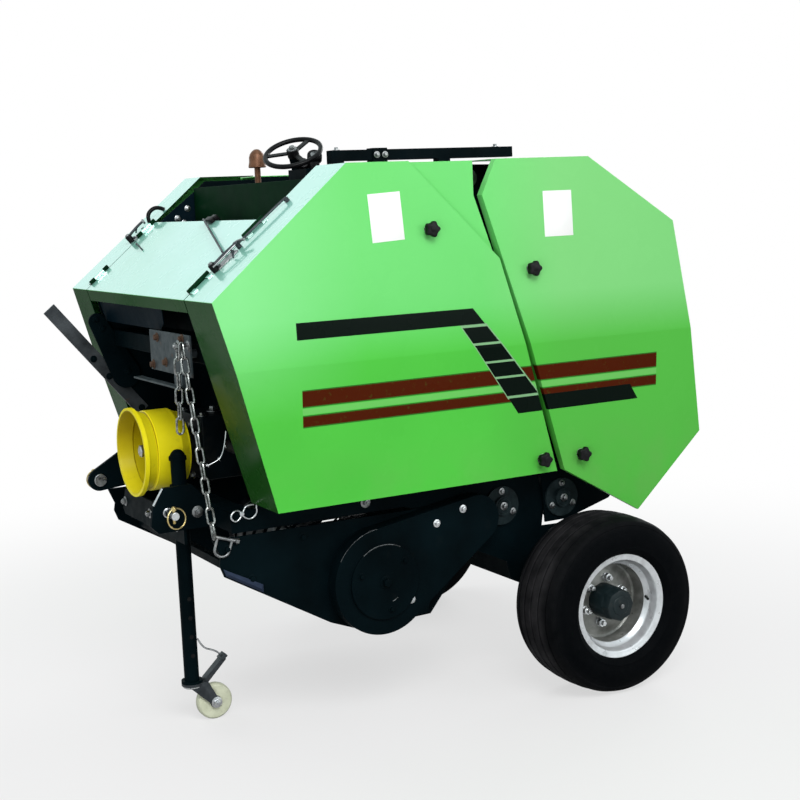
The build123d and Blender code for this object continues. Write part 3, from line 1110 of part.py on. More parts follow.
parts["pto_guard"] = pto_guard()
parts["gearbox"] = gearbox()
parts["cross_shaft"] = cross_shaft()
parts["pto_shaft"] = pto_shaft()
parts["hitch_beam"] = hitch_beam()
parts["lower_link_pins"] = [on_side(link_pin(), sign) for sign in (1, -1)]
parts["steel_plate"] = steel_plate()
parts["guide_plate"] = guide_plate()
parts["tension_arm"] = tension_arm()
parts["drive_chain"] = drive_chain()
parts["hand_lever"] = hand_lever()

parts["jack_sleeve"] = jack_sleeve()
parts["jack_leg"] = jack_leg()
parts["caster_fork"] = caster_fork()
parts["caster_wheel"] = caster_wheel()

parts["pickup_bands"] = bands()
parts["pickup_tubes"] = pickup_bars()
parts["pickup_chain_guard"] = chain_guard()
parts["pickup_reel"] = reel()
parts["lift_chain"] = lift_chain()

os.makedirs("parts", exist_ok=True)
for name, shape in parts.items():
    solids = shape if isinstance(shape, list) else [shape]
    moved = [Pos(0, CENTRE_SHIFT, 0) * solid for solid in solids]
    export_step(moved[0] if len(moved) == 1 else Compound(children=moved), f"parts/{name}.step")
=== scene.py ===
import json
from math import atan2, copysign, cos, hypot, pi, radians, sin, tau

import bmesh
import bpy
from mathutils import Matrix, Vector

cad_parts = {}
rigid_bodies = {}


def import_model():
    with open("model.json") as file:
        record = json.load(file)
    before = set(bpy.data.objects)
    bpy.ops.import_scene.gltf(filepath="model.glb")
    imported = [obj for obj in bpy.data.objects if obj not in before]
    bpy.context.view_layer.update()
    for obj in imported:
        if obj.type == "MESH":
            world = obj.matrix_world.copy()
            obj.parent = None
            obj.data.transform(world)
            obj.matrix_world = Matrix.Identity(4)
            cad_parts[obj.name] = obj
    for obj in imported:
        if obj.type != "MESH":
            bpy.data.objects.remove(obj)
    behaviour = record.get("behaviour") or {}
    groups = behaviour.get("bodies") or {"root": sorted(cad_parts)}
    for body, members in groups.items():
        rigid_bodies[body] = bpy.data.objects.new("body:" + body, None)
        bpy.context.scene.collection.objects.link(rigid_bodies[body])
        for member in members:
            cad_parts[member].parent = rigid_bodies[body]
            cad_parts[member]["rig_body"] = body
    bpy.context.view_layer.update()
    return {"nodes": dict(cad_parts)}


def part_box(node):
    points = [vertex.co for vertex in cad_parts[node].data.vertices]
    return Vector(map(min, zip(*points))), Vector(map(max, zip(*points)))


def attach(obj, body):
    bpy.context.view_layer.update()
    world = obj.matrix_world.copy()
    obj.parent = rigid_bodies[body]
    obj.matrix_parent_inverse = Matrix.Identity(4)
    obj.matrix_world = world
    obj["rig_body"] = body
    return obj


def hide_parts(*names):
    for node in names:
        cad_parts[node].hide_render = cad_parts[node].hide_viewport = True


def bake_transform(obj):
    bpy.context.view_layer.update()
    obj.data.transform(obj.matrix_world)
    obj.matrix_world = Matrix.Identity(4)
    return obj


bl_info = {
    "name": "Compact Round Baler",
    "version": (1, 0, 0),
    "blender": (4, 5, 0),
    "location": "3D View > Sidebar > Baler",
    "description": "Finishes a compact round baler over its packed frame",
    "category": "Object",
}

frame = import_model()
SIDES = (("left", 1), ("right", -1))


# ---------------------------------------- places read from the frame
def middle(node):
    """Middle of a frame node's box."""
    low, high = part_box(node)
    return (low + high) / 2


COVER_LOW, COVER_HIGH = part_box("cover_front_left")
NOSE_TOP_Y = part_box("nose_panel")[1].y
GUARD_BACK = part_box("pto_guard")[1].y
LEG_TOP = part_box("jack_leg")[1].z
CHAIN_GUARD_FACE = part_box("pickup_chain_guard")[1].x
WHEEL = middle("tyre_left")
CASTER = middle("caster_wheel")
REEL = middle("pickup_reel")
PTO_Z = middle("pto_shaft").z

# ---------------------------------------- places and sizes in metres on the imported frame
WALL_OUTER = 0.424
GATE_WALL_OUTER = 0.436
PLATE_OUTER = 0.446
PLATE_FACE = -0.673
BULKHEAD_SEAT = -0.3602
EAR_OUTER = 0.306
DECK_TOP = 1.5
SEAM_LEFT = 0.4025
SEAM_RIGHT = 0.4425
SEAM_REAR = 0.4385
SEAM_REACH = 0.0062
COVER_HALF = 0.580
COVER_BULGE = 0.023
CREASE_Z = 1.038
SEATING = 0.0002
HOOK_RADIUS = 0.005
SPLINE_RADIUS = 0.0174
CHAIN_LINKS = 13
SPARE_LINKS = 6
FORWARD = Vector((0, -1, 0))
ACROSS = (1, 0, 0)
UP = (0, 0, 1)
JACK = Vector((0.150, -0.653, 0))
BELL = (0, -0.299, DECK_TOP)
CHAIN_TOP = Vector((0.342, -0.690, 1.094))
SHACKLE_HEAD = Vector((0.4513, -0.679, 0.601))
SHACKLE_END = Vector((0.4513, -0.608, 0.577))
LINK_PIN = Vector((0, -0.745, 0.648))
HANDWHEEL = Vector((0.152, -0.253, 1.592))
HANDWHEEL_AXIS = Vector((0.35, -0.35, 0.87)).normalized()
PICKUP_PIVOT = (0.107, 0.540)
TAILGATE_PIVOT = (0.147, 1.500)
SLOPE_FOOT = Vector((0, COVER_LOW.y, 1.216))
SLOPE_TOP = Vector((0, -0.305, COVER_HIGH.z))
UP_SLOPE = (SLOPE_TOP - SLOPE_FOOT).normalized()
OFF_SLOPE = Vector((0, -UP_SLOPE.z, UP_SLOPE.y))
SLOPE_TURN = Matrix((ACROSS, UP_SLOPE, OFF_SLOPE)).transposed()
CHAMBER = Vector((0, 0.331, 0.933))
ROLLER_PITCH = 0.395
FRONT_ROLLERS = (135, 165, 195, 255)
GATE_ROLLERS = (285, 315, 345, 15, 45, 75, 105)
DRIVEN_ROLLERS = (135, 165, 195)


def on_slope(x, along, height=0.0):
    """Point on the nose's slope, a distance up from its lower edge and a height off its face."""
    return Vector((x, 0, 0)) + SLOPE_FOOT + UP_SLOPE * along + OFF_SLOPE * height


def cover_face(z):
    """Outer face of the creased covers at a height."""
    span = COVER_HIGH.z - CREASE_Z if z > CREASE_Z else CREASE_Z - COVER_LOW.z
    return COVER_HALF + COVER_BULGE * (1 - abs(z - CREASE_Z) / span)


def roller_place(angle):
    """Centre of a chamber roller."""
    turn = radians(angle)
    return Vector((0, CHAMBER.y + ROLLER_PITCH * cos(turn), CHAMBER.z + ROLLER_PITCH * sin(turn)))


# ---------------------------------------- sizes and colours a user may change
def tint(label, description, *default):
    return bpy.props.FloatVectorProperty(name=label, description=description, size=3, subtype="COLOR",
                                         default=default)


def length(label, description, default, least):
    return bpy.props.FloatProperty(name=label, description=description, default=default, min=least,
                                   subtype="DISTANCE", unit="LENGTH")


class BalerPaint(bpy.types.PropertyGroup):
    """Colours of the baler's paint, plastic and rubber."""
    panel: tint("Panels", "Paint of the covers and the nose", 0.078, 0.51, 0.056)
    chassis: tint("Frame", "Paint of the frame and the hitch", 0.0008, 0.0026, 0.0034)
    band_dark: tint("Dark bands", "Upper, lower and stepped bands", 0.0012, 0.0045, 0.0028)
    band_red: tint("Red bands", "The pair of long bands", 0.062, 0.0085, 0.001)
    band_edge: tint("Band edges", "Pale lines between the steps", 0.20, 0.40, 0.20)
    guard: tint("Guard", "Plastic guard of the input shaft", 0.98, 0.86, 0.012)
    wheel: tint("Rims", "Paint of the wheel rims", 0.62, 0.64, 0.66)


class BalerSizes(bpy.types.PropertyGroup):
    """Sizes of the baler's fittings."""
    chain_pitch: length("Chain pitch", "Inside length of a chain link", 0.039, 0.01)
    chain_wire: length("Chain wire", "Thickness of a chain link's wire", 0.0062, 0.001)
    chain_width: length("Chain width", "Outside width of a chain link", 0.025, 0.005)
    groove_width: length("Tread groove", "Width of the tyre's grooves", 0.006, 0.001)
    groove_depth: length("Groove depth", "Depth of the tyre's grooves", 0.006, 0.001)
    label_width: length("Label width", "Width of the blank side plates", 0.096, 0.01)
    edge_radius: length("Sheet edge", "Rounding of cut sheet edges", 0.0009, 0.0001)
    rim_nuts: bpy.props.IntProperty(name="Wheel nuts", description="Nuts that hold each rim",
                                    default=6, min=3, max=10)


# ---------------------------------------- materials
class Finish:
    """A material under construction, on the machine's own coordinates."""

    def __init__(self, name, **sockets):
        self.material = bpy.data.materials.new(name)
        self.material.use_nodes = True
        self.tree = self.material.node_tree
        self.shader = self.tree.nodes["Principled BSDF"]
        self.where = self.add("ShaderNodeTexCoord").outputs["Object"]
        for socket, value in sockets.items():
            self.shader.inputs[socket.replace("_", " ")].default_value = value

    def add(self, kind, **settings):
        node = self.tree.nodes.new(kind)
        for key, value in settings.items():
            setattr(node, key, value)
        return node

    def feed(self, socket, value):
        """Links a socket, or sets it to a plain value."""
        if isinstance(value, bpy.types.NodeSocket):
            self.tree.links.new(value, socket)
        elif socket.type == "RGBA" and len(value) == 3:
            socket.default_value = (*value, 1.0)
        else:
            socket.default_value = value

    def maths(self, operation, first, second=0.0, third=0.0):
        node = self.add("ShaderNodeMath", operation=operation)
        for socket, value in zip(node.inputs, (first, second, third)):
            self.feed(socket, value)
        return node.outputs["Value"]

    def noise(self, scale, detail=3.0, stretch=None):
        node = self.add("ShaderNodeTexNoise")
        vector = self.where
        if stretch:
            drawn = self.add("ShaderNodeMapping")
            self.feed(drawn.inputs["Vector"], vector)
            self.feed(drawn.inputs["Scale"], stretch)
            vector = drawn.outputs["Vector"]
        for key, value in (("Scale", scale), ("Detail", detail), ("Roughness", 0.55), ("Vector", vector)):
            self.feed(node.inputs[key], value)
        return node.outputs["Fac"]

    def axes(self):
        node = self.add("ShaderNodeSeparateXYZ")
        self.feed(node.inputs["Vector"], self.where)
        return node.outputs["X"], node.outputs["Y"], node.outputs["Z"]

    def spread(self, value, low, high, start=0.0, end=1.0, **settings):
        """Value from low..high spread over start..end, clamped."""
        node = self.add("ShaderNodeMapRange", clamp=True, **settings)
        for key, number in (("Value", value), ("From Min", low), ("From Max", high),
                            ("To Min", start), ("To Max", end)):
            self.feed(node.inputs[key], number)
        return node.outputs["Result"]

    def cloud(self, scale, detail, *span):
        """Noise spread over a range."""
        return self.spread(self.noise(scale, detail), *span)

    def mix(self, share, first, second):
        node = self.add("ShaderNodeMix", data_type="RGBA")
        for socket, value in ((0, share), (6, first), (7, second)):
            self.feed(node.inputs[socket], value)
        return node.outputs[2]

    def over(self, value, limit=0.0):
        return self.maths("GREATER_THAN", value, limit)

    def under(self, value, limit):
        return self.maths("LESS_THAN", value, limit)

    def line(self, value, slope, rise):
        return self.maths("MULTIPLY_ADD", value, slope, rise)

    def inside(self, value, low, high):
        """1 where a value lies between two numbers."""
        return self.maths("COMPARE", value, (low + high) / 2, (high - low) / 2)

    def both(self, *masks, operation="MULTIPLY"):
        result = masks[0]
        for mask in masks[1:]:
            result = self.maths(operation, result, mask)
        return result

    def either(self, *masks):
        return self.both(*masks, operation="MAXIMUM")

    def reach(self, first, second):
        """Distance from an axis, from two offsets."""
        return self.maths("SQRT", self.maths("ADD", self.both(first, first), self.both(second, second)))

    def colour(self, value):
        self.feed(self.shader.inputs["Base Color"], value)

    def rough(self, *cloud):
        self.feed(self.shader.inputs["Roughness"], self.cloud(*cloud))

    def bump(self, *layers):
        """Stacks bumps; each layer is (height, strength, distance in metres)."""
        normal = None
        for height, strength, distance in layers:
            node = self.add("ShaderNodeBump")
            for key, value in (("Strength", strength), ("Distance", distance), ("Height", height)):
                self.feed(node.inputs[key], value)
            if normal is not None:
                self.feed(node.inputs["Normal"], normal)
            normal = node.outputs["Normal"]
        self.feed(self.shader.inputs["Normal"], normal)


def shade(colour, share):
    """A colour made lighter or darker."""
    return tuple(min(1.0, channel * share) for channel in colour)


def paint(name):
    """A colour of the user's settings."""
    return tuple(getattr(bpy.context.scene.baler_paint, name))


def surfaces():
    """Finishes that differ only in their numbers.
    In order: two tones and the scale they drift at; gloss (low, high, scale); grain (scale, strength,
    depth); spots (colour, scale, from, to, most); the shader's own sockets; how the drift is drawn out."""
    black, silver = paint("chassis"), paint("wheel")
    return {
        "chassis_paint": (
            (black, shade(black, 2.4), 5), (0.34, 0.52, 22), (90, 0.08, 0.0008),
            ((0.03, 0.029, 0.025), 18, 0.62, 0.88, 0.1), dict(IOR=1.45, Specular_IOR_Level=0.02)),
        "gearbox_paint": (
            (black, shade(black, 2.0), 9), (0.4, 0.6, 30), (140, 0.3, 0.0012),
            ((0.035, 0.028, 0.018), 14, 0.55, 0.75, 0.3), dict(IOR=1.45, Specular_IOR_Level=0.12)),
        "box_paint": (
            ((0.0016, 0.006, 0.01), (0.0035, 0.011, 0.017), 6), (0.34, 0.5, 22), (90, 0.08, 0.0008),
            ((0.02, 0.03, 0.035), 20, 0.62, 0.85, 0.15), dict(IOR=1.45, Specular_IOR_Level=0.03)),
        # A darker copy of the panels' green: painted shade for the cross panel and for the hinge barrels in
        # the seams.
        "dark_green_paint": (
            ((0.0015, 0.013, 0.0055), (0.003, 0.026, 0.009), 5), (0.3, 0.46, 18), (120, 0.08, 0.0006),
            ((0.02, 0.04, 0.025), 22, 0.62, 0.85, 0.2), dict(IOR=1.45, Specular_IOR_Level=0.01)),
        "hub_paint": (
            ((0.003, 0.008, 0.0095), (0.008, 0.015, 0.017), 26), (0.3, 0.48, 40), (200, 0.12, 0.0005),
            ((0.05, 0.045, 0.04), 40, 0.6, 0.8, 0.35), dict(IOR=1.45, Specular_IOR_Level=0.25)),
        "rim_silver": (
            (shade(silver, 0.9), shade(silver, 1.1), 40), (0.24, 0.42, 30), (300, 0.06, 0.0004),
            ((0.1, 0.095, 0.09), 16, 0.52, 0.78, 0.55),
            dict(Metallic=0.55, Coat_Weight=0.25, Coat_Roughness=0.12)),
        "zinc_plate": (
            ((0.42, 0.43, 0.45), (0.72, 0.73, 0.74), 55), (0.2, 0.4, 70), (260, 0.1, 0.0004),
            ((0.16, 0.13, 0.1), 24, 0.6, 0.8, 0.55), dict(Metallic=1.0)),
        "chain_zinc": (
            ((0.13, 0.135, 0.13), (0.42, 0.43, 0.42), 150), (0.18, 0.36, 90), (300, 0.1, 0.0003),
            ((0.05, 0.045, 0.04), 60, 0.5, 0.7, 0.6), dict(Metallic=1.0)),
        "dull_zinc": (
            ((0.15, 0.155, 0.16), (0.34, 0.345, 0.35), 60), (0.26, 0.46, 60), (240, 0.12, 0.0004),
            ((0.1, 0.06, 0.035), 30, 0.6, 0.8, 0.5), dict(Metallic=1.0)),
        "bare_plate": (
            ((0.026, 0.038, 0.043), (0.068, 0.085, 0.092), 34), (0.36, 0.56, 40), (120, 0.12, 0.0006),
            ((0.16, 0.065, 0.025), 30, 0.64, 0.78, 0.6), dict(Metallic=0.5, Specular_IOR_Level=0.3)),
        "lever_steel": (
            ((0.02, 0.024, 0.028), (0.07, 0.08, 0.088), 12), (0.34, 0.55, 30), (160, 0.12, 0.0006),
            ((0.1, 0.055, 0.03), 26, 0.62, 0.8, 0.5), dict(Metallic=0.4, Specular_IOR_Level=0.25)),
        "roller_steel": (
            ((0.022, 0.023, 0.024), (0.075, 0.077, 0.078), 20), (0.34, 0.58, 50), (150, 0.12, 0.0005),
            ((0.07, 0.035, 0.018), 12, 0.58, 0.8, 0.6), dict(Metallic=0.75), (0.15, 1.0, 1.0)),
        "knob_plastic": (
            ((0.0018, 0.0018, 0.0022), (0.005, 0.005, 0.006), 70), (0.3, 0.46, 80), (400, 0.12, 0.0003),
            None, dict(IOR=1.45, Specular_IOR_Level=0.16)),
        "caster_nylon": (
            ((0.5, 0.53, 0.38), (0.66, 0.69, 0.52), 30), (0.36, 0.5, 60), (200, 0.1, 0.0004),
            ((0.2, 0.19, 0.14), 60, 0.56, 0.75, 0.5), dict(IOR=1.53)),
        "aged_copper": (
            ((0.105, 0.044, 0.021), (0.2, 0.095, 0.052), 60), (0.36, 0.52, 70), (200, 0.1, 0.0004),
            ((0.06, 0.033, 0.022), 90, 0.52, 0.7, 0.6), dict(Metallic=0.45, Specular_IOR_Level=0.3)),
        "yellow_zinc": (
            ((0.46, 0.34, 0.12), (0.66, 0.54, 0.28), 80), (0.24, 0.38, 60), (300, 0.08, 0.0003),
            ((0.12, 0.08, 0.04), 50, 0.6, 0.8, 0.5), dict(Metallic=0.9)),
        "rusty_steel": (
            ((0.045, 0.018, 0.009), (0.12, 0.07, 0.042), 120), (0.6, 0.85, 90), (260, 0.35, 0.0006),
            ((0.03, 0.015, 0.01), 60, 0.5, 0.7, 0.6), dict(Metallic=0.3)),
        # Grey lines on black edges: painted highlights where edges catch the light.
        "worn_edge": (
            ((0.045, 0.05, 0.054), (0.11, 0.118, 0.122), 70), (0.34, 0.5, 60), (200, 0.1, 0.0004),
            ((0.004, 0.005, 0.006), 40, 0.5, 0.62, 0.9), dict(Metallic=0.5)),
        "blank_label": (
            ((0.78, 0.8, 0.78), (0.86, 0.86, 0.84), 9), (0.3, 0.42, 30), (60, 0.03, 0.0004),
            ((0.55, 0.55, 0.48), 70, 0.66, 0.78, 0.25), dict(IOR=1.45, Coat_Weight=0.3, Coat_Roughness=0.1)),
        "grey_housing": (
            ((0.006, 0.012, 0.014), (0.02, 0.032, 0.035), 30), (0.34, 0.5, 60), (220, 0.12, 0.0004),
            ((0.004, 0.005, 0.005), 28, 0.5, 0.72, 0.8), dict(Metallic=0.1, Specular_IOR_Level=0.08)),
        # Darker silver for the rim's well: painted shade.
        "rim_inner": (
            ((0.13, 0.135, 0.125), (0.3, 0.305, 0.29), 24), (0.26, 0.44, 30), (300, 0.06, 0.0004),
            ((0.05, 0.045, 0.04), 16, 0.5, 0.75, 0.6), dict(Metallic=0.55)),
    }


def plain_surface(name, tones, gloss, grain, spots, sockets, stretch=None):
    """Two drifting tones with spots, uneven gloss and a fine grain."""
    mat = Finish(name, **sockets)
    base = mat.mix(mat.spread(mat.noise(tones[2], 4.0, stretch), 0.32, 0.7), tones[0], tones[1])
    if spots:
        colour, scale, low, high, most = spots
        base = mat.mix(mat.cloud(scale, 6.0, low, high, 0.0, most), base, colour)
    mat.colour(base)
    shine = mat.spread(mat.noise(gloss[2], 4.0, stretch), 0.3, 0.7, gloss[0], gloss[1])
    mat.feed(mat.shader.inputs["Roughness"], shine)
    mat.bump((mat.noise(grain[0], 3.0, stretch), grain[1], grain[2]))


def dressed_panel(mat):
    """Gloss sheet paint: slight colour drift, painted highlights above the crease and toward the nose,
    painted highlight above and painted shade below the crease on the rear covers, painted shade on the front
    faces, field dust low down, sheet ripple.
    """
    green = paint("panel")
    y, z = mat.axes()[1:]
    drift = mat.cloud(1.7, 2.0, 0.3, 0.7)
    base = mat.mix(drift, shade(green, 0.92), shade(green, 1.08))
    # Painted highlight above the crease: the upper faces are a lighter green.
    upper_highlight = mat.spread(z, CREASE_Z - 0.005, CREASE_Z + 0.12, 0.0, 0.8)
    base = mat.mix(mat.both(upper_highlight, mat.spread(drift, 0.0, 1.0, 0.7, 1.0)), base, (0.165, 0.63, 0.185))
    # Painted highlight toward the nose: a lighter green where light falls on the front of the covers.
    nose_highlight = mat.both(mat.spread(y, -0.28, -0.62), mat.spread(z, 0.9, 1.16), 0.7)
    base = mat.mix(nose_highlight, base, (0.23, 0.69, 0.26))
    # Painted light on the rear covers: painted shade below the crease and a painted highlight above it.
    rear = mat.mix(mat.spread(z, CREASE_Z - 0.005, CREASE_Z + 0.14), (0.085, 0.42, 0.058), (0.2, 0.56, 0.185))
    base = mat.mix(mat.both(mat.spread(y, 0.08, 0.34), 0.75), base, rear)
    dust = mat.both(mat.spread(z, 0.66, 0.82, 1.0, 0.0), mat.cloud(7.0, 6.0, 0.42, 0.72, 0.0, 0.16))
    base = mat.mix(dust, base, (0.22, 0.24, 0.14))
    # Painted shade on the front faces below the nose, which face away from the lamps.
    front = mat.both(mat.under(mat.line(z, 0.277, y), -0.3615), mat.under(z, 1.2145), 0.93)
    base = mat.mix(front, base, (0.008, 0.04, 0.007))
    mat.rough(9.0, 4.0, 0.3, 0.7, 0.2, 0.32)
    mat.bump((mat.noise(4.5, 1.0), 0.1, 0.004), (mat.noise(160.0, 1.0), 0.05, 0.0006))
    return base


def sheet_gloss(name):
    return Finish(name, Coat_Weight=0.03, Coat_Roughness=0.07, IOR=1.45, Specular_IOR_Level=0.04)


def panel_paint(name):
    mat = sheet_gloss(name)
    mat.colour(dressed_panel(mat))


def slope_paint(name):
    """High gloss of the slope, which mirrors the sky, over a pale cyan-green base colour that is a painted
    reflection of the sky.
    """
    mat = Finish(name, Coat_Weight=1.0, Coat_Roughness=0.07, Coat_IOR=2.8, IOR=1.45)
    # Painted reflection: the slope's green is made pale cyan as if it mirrored the sky.
    base = mat.mix(mat.cloud(2.2, 3.0, 0.3, 0.7), (0.3, 0.76, 0.58), (0.42, 0.86, 0.76))
    mat.colour(mat.mix(mat.cloud(9.0, 6.0, 0.5, 0.8, 0.0, 0.12), base, (0.35, 0.42, 0.3)))
    mat.rough(9.0, 4.0, 0.3, 0.7, 0.2, 0.32)
    mat.bump((mat.noise(3.0, 0.0), 0.05, 0.004), (mat.noise(160.0, 0.0), 0.02, 0.0004))


def banded_panel_paint(name):
    """The covers' paint with the bands that step from the front cover to the rear one."""
    mat = sheet_gloss(name)
    base = dressed_panel(mat)
    x, y, z = mat.axes()
    outside = mat.over(mat.maths("ABSOLUTE", x), 0.5792)
    after_left = mat.maths("ADD", y, mat.line(z, 0.7, -0.7818))
    before_right = mat.maths("SUBTRACT", mat.line(z, -0.82, 0.9919), y)

    def rows(*spans):
        return mat.either(*(mat.inside(z, low, high) for low, high in spans))

    red = rows((0.9335, 0.9735), (0.881, 0.9075))
    red_edge = rows((0.9305, 0.9765), (0.878, 0.9105))
    run = mat.inside(y, -0.4695, 0.6745)
    ladder = mat.both(mat.over(after_left, -0.003), mat.over(before_right, -0.0045), rows((0.888, 1.106)))
    steps = mat.both(mat.over(after_left), mat.over(before_right),
                     rows((1.0535, 1.0975), (1.0005, 1.047), (0.955, 0.9945), (0.8975, 0.949)))
    upper = mat.both(mat.over(before_right), mat.over(y, -0.477), rows((1.105, 1.149)))
    tail = mat.under(mat.line(z, 0.63, y), 0.579 + 0.63 * 0.89)
    lower = mat.both(mat.over(after_left), tail, rows((0.845, 0.8905)))
    worn = mat.cloud(60.0, 4.0, 0.62, 0.75, 1.0, 0.75)
    for mask, colour in (
            ((mat.both(run, rows((0.9125, 0.9285))), 0.45), (0.2, 0.52, 0.16)),
            ((run, red_edge, 0.8), (0.012, 0.06, 0.01)),
            ((run, red, worn), paint("band_red")),
            ((ladder,), paint("band_edge")),
            ((mat.either(steps, upper, lower),), paint("band_dark"))):
        base = mat.mix(mat.both(outside, *mask), base, colour)
    mat.colour(base)


def pickup_paint(name):
    """Frame paint on the pickup's side plates, with a blue-grey painted highlight on the flat of the raised
    lip.
    """
    black = paint("chassis")
    mat = Finish(name, IOR=1.45, Specular_IOR_Level=0.02)
    x = mat.axes()[0]
    base = mat.mix(mat.cloud(5.0, 4.0, 0.35, 0.7), black, shade(black, 2.4))
    # Painted highlight: the black lip's outer face is made blue-grey like a reflection of the sky.
    lip = mat.over(mat.maths("ABSOLUTE", x), PLATE_OUTER + 0.004)
    mat.colour(mat.mix(mat.both(lip, mat.cloud(30.0, 5.0, 0.3, 0.6, 0.7, 1.0)), base, (0.03, 0.043, 0.075)))
    mat.rough(22.0, 4.0, 0.3, 0.7, 0.34, 0.52)
    mat.bump((mat.noise(90.0), 0.08, 0.0008))


def guard_plastic(name):
    """Yellow plastic, with painted shade on the guard's inner faces, strongest towards the top, and a little
    soiled.
    """
    yellow = paint("guard")
    mat = Finish(name, IOR=1.46, Specular_IOR_Level=0.2)
    x, y, z = mat.axes()
    up = mat.maths("ADD", z, -PTO_Z)
    mouth = mat.under(y, -0.696)
    body = mat.maths("MINIMUM", 0.113, mat.line(y, -0.5, -0.198))
    wall = mat.maths("ADD", mat.both(mouth, mat.line(y, -0.293, -0.096)),
                     mat.both(mat.maths("SUBTRACT", 1.0, mouth), body))
    # Painted shade inside the guard's mouth and body, stronger towards the top.
    inner = mat.both(mat.maths("LESS_THAN", mat.reach(x, up), wall), mat.spread(up, -0.09, 0.05, 0.25, 0.85))
    base = mat.mix(mat.cloud(8.0, 4.0, 0.32, 0.7), shade(yellow, 0.93), shade(yellow, 1.02))
    base = mat.mix(mat.cloud(34.0, 6.0, 0.64, 0.78, 0.0, 0.35), base, shade(yellow, 0.45))
    mat.colour(mat.mix(inner, base, (0.3, 0.205, 0.002)))
    mat.rough(60.0, 4.0, 0.3, 0.7, 0.34, 0.48)
    mat.bump((mat.noise(180.0), 0.08, 0.0006))


def tyre_rubber(name):
    """Rubber with a dusty tread and fine rings on its side wall."""
    mat = Finish(name, IOR=1.45, Specular_IOR_Level=0.015)
    y, z = mat.axes()[1:]
    radius = mat.reach(mat.maths("ADD", y, -WHEEL.y), mat.maths("ADD", z, -WHEEL.z))
    tread = mat.spread(radius, 0.222, 0.262, 0.1, 1.0)
    crown = mat.spread(mat.spread(radius, 0.2545, 0.2575), 0.0, 1.0, 0.3, 1.0)
    dust = mat.both(mat.cloud(14.0, 6.0, 0.32, 0.68, 0.15, 0.8), tread, crown)
    base = mat.mix(mat.noise(60.0), (0.0006, 0.0012, 0.0016), (0.0026, 0.003, 0.0037))
    mat.colour(mat.mix(dust, base, (0.034, 0.033, 0.035)))
    mat.rough(30.0, 4.0, 0.3, 0.7, 0.42, 0.62)
    rings = mat.maths("SINE", mat.both(radius, 1900.0))
    side = mat.spread(radius, 0.232, 0.222)
    mat.bump((mat.both(rings, side), 0.1, 0.0006), (mat.noise(240.0), 0.16, 0.0007))


MADE_PAINTS = {made.__name__: made for made in (panel_paint, slope_paint, banded_panel_paint, pickup_paint,
                                                guard_plastic, tyre_rubber)}


def surface(name):
    """The finish of a name, made the first time it is asked for."""
    own = "baler_" + name
    if own not in bpy.data.materials:
        if name in MADE_PAINTS:
            MADE_PAINTS[name](own)
        else:
            plain_surface(own, *surfaces()[name])
    return bpy.data.materials[own]


# ---------------------------------------- shape helpers
def facing(place, axis):
    """Matrix that stands a +Z shape at a place, along an axis."""
    return Matrix.Translation(place) @ Vector(axis).to_track_quat("Z", "Y").to_matrix().to_4x4()


def join(bm, part, finish=0):
    """Adds a made shape, in its own material, to the mesh under construction."""
    for face in part.faces:
        face.material_index = finish
    mesh = bpy.data.meshes.new("part")
    part.to_mesh(mesh)
    part.free()
    bm.from_mesh(mesh)
    bpy.data.meshes.remove(mesh)


def rounded(part, edges, radius, steps=2):
    bmesh.ops.bevel(part, geom=list(edges), offset=radius, offset_type="OFFSET", segments=steps, profile=0.5,
                    affect="EDGES", material=-1)


def rim_of(verts):
    """Edges that run between corners of a set."""
    return [e for e in {e for v in verts for e in v.link_edges} if all(v in verts for v in e.verts)]


def raised(part, corners, by):
    """Draws a flat outline out into a solid, and gives its new corners."""
    grown = bmesh.ops.extrude_face_region(part, geom=list(corners[0].link_faces))["geom"]
    top = {v for v in grown if isinstance(v, bmesh.types.BMVert)}
    bmesh.ops.translate(part, vec=by, verts=list(top))
    bmesh.ops.recalc_face_normals(part, faces=part.faces)
    return top


def turned(bm, profile, place, axis, steps=32, closed=True, finish=0):
    """Body of revolution; profile is (along the axis, radius) corners."""
    part = bmesh.new()
    stand = facing(place, axis)
    line = [part.verts.new(stand @ Vector((radius, 0, along))) for along, radius in profile]
    pairs = list(zip(line, line[1:])) + ([(line[-1], line[0])] if closed else [])
    edges = [part.edges.new(pair) for pair in pairs]
    bmesh.ops.spin(part, geom=line + edges, cent=place, axis=Vector(axis).normalized(), dvec=(0, 0, 0),
                   angle=tau, steps=steps, use_merge=True, use_duplicate=False)
    bmesh.ops.remove_doubles(part, verts=part.verts, dist=1e-6)
    bmesh.ops.recalc_face_normals(part, faces=part.faces)
    join(bm, part, finish)


def button(bm, place, axis, radius, height, sides=20, chamfer=0.0, taper=1.0, finish=0):
    """Round or many-sided boss that stands on a surface, with its outer edge eased."""
    part = bmesh.new()
    place, axis = Vector(place), Vector(axis).normalized()
    bmesh.ops.create_cone(part, cap_ends=True, segments=sides, radius1=radius, radius2=radius * taper,
                          depth=height, matrix=facing(place + axis * height / 2, axis))
    if chamfer:
        rounded(part, rim_of({v for v in part.verts if (v.co - place).dot(axis) > height * 0.9}), chamfer)
    join(bm, part, finish)


def bolt(bm, place, axis, across=0.013, finish=0, washer=True, stud=0.0):
    """Hexagon head on a washer, with the end of its thread if it is a nut."""
    place, axis = Vector(place), Vector(axis).normalized()
    lift = 0.0
    if washer:
        button(bm, place, axis, across * 0.95, 0.0016, 24, 0.0004, finish=finish)
        lift = 0.0015
    head = across * 0.62
    button(bm, place + axis * lift, axis, across * 0.58, head, 6, across * 0.05, finish=finish)
    if stud:
        button(bm, place + axis * (lift + head * 0.98), axis, across * 0.3, stud, 14, 0.0006, finish=finish)


def bolts(bm, places, *kind):
    for place in places:
        bolt(bm, place, *kind)


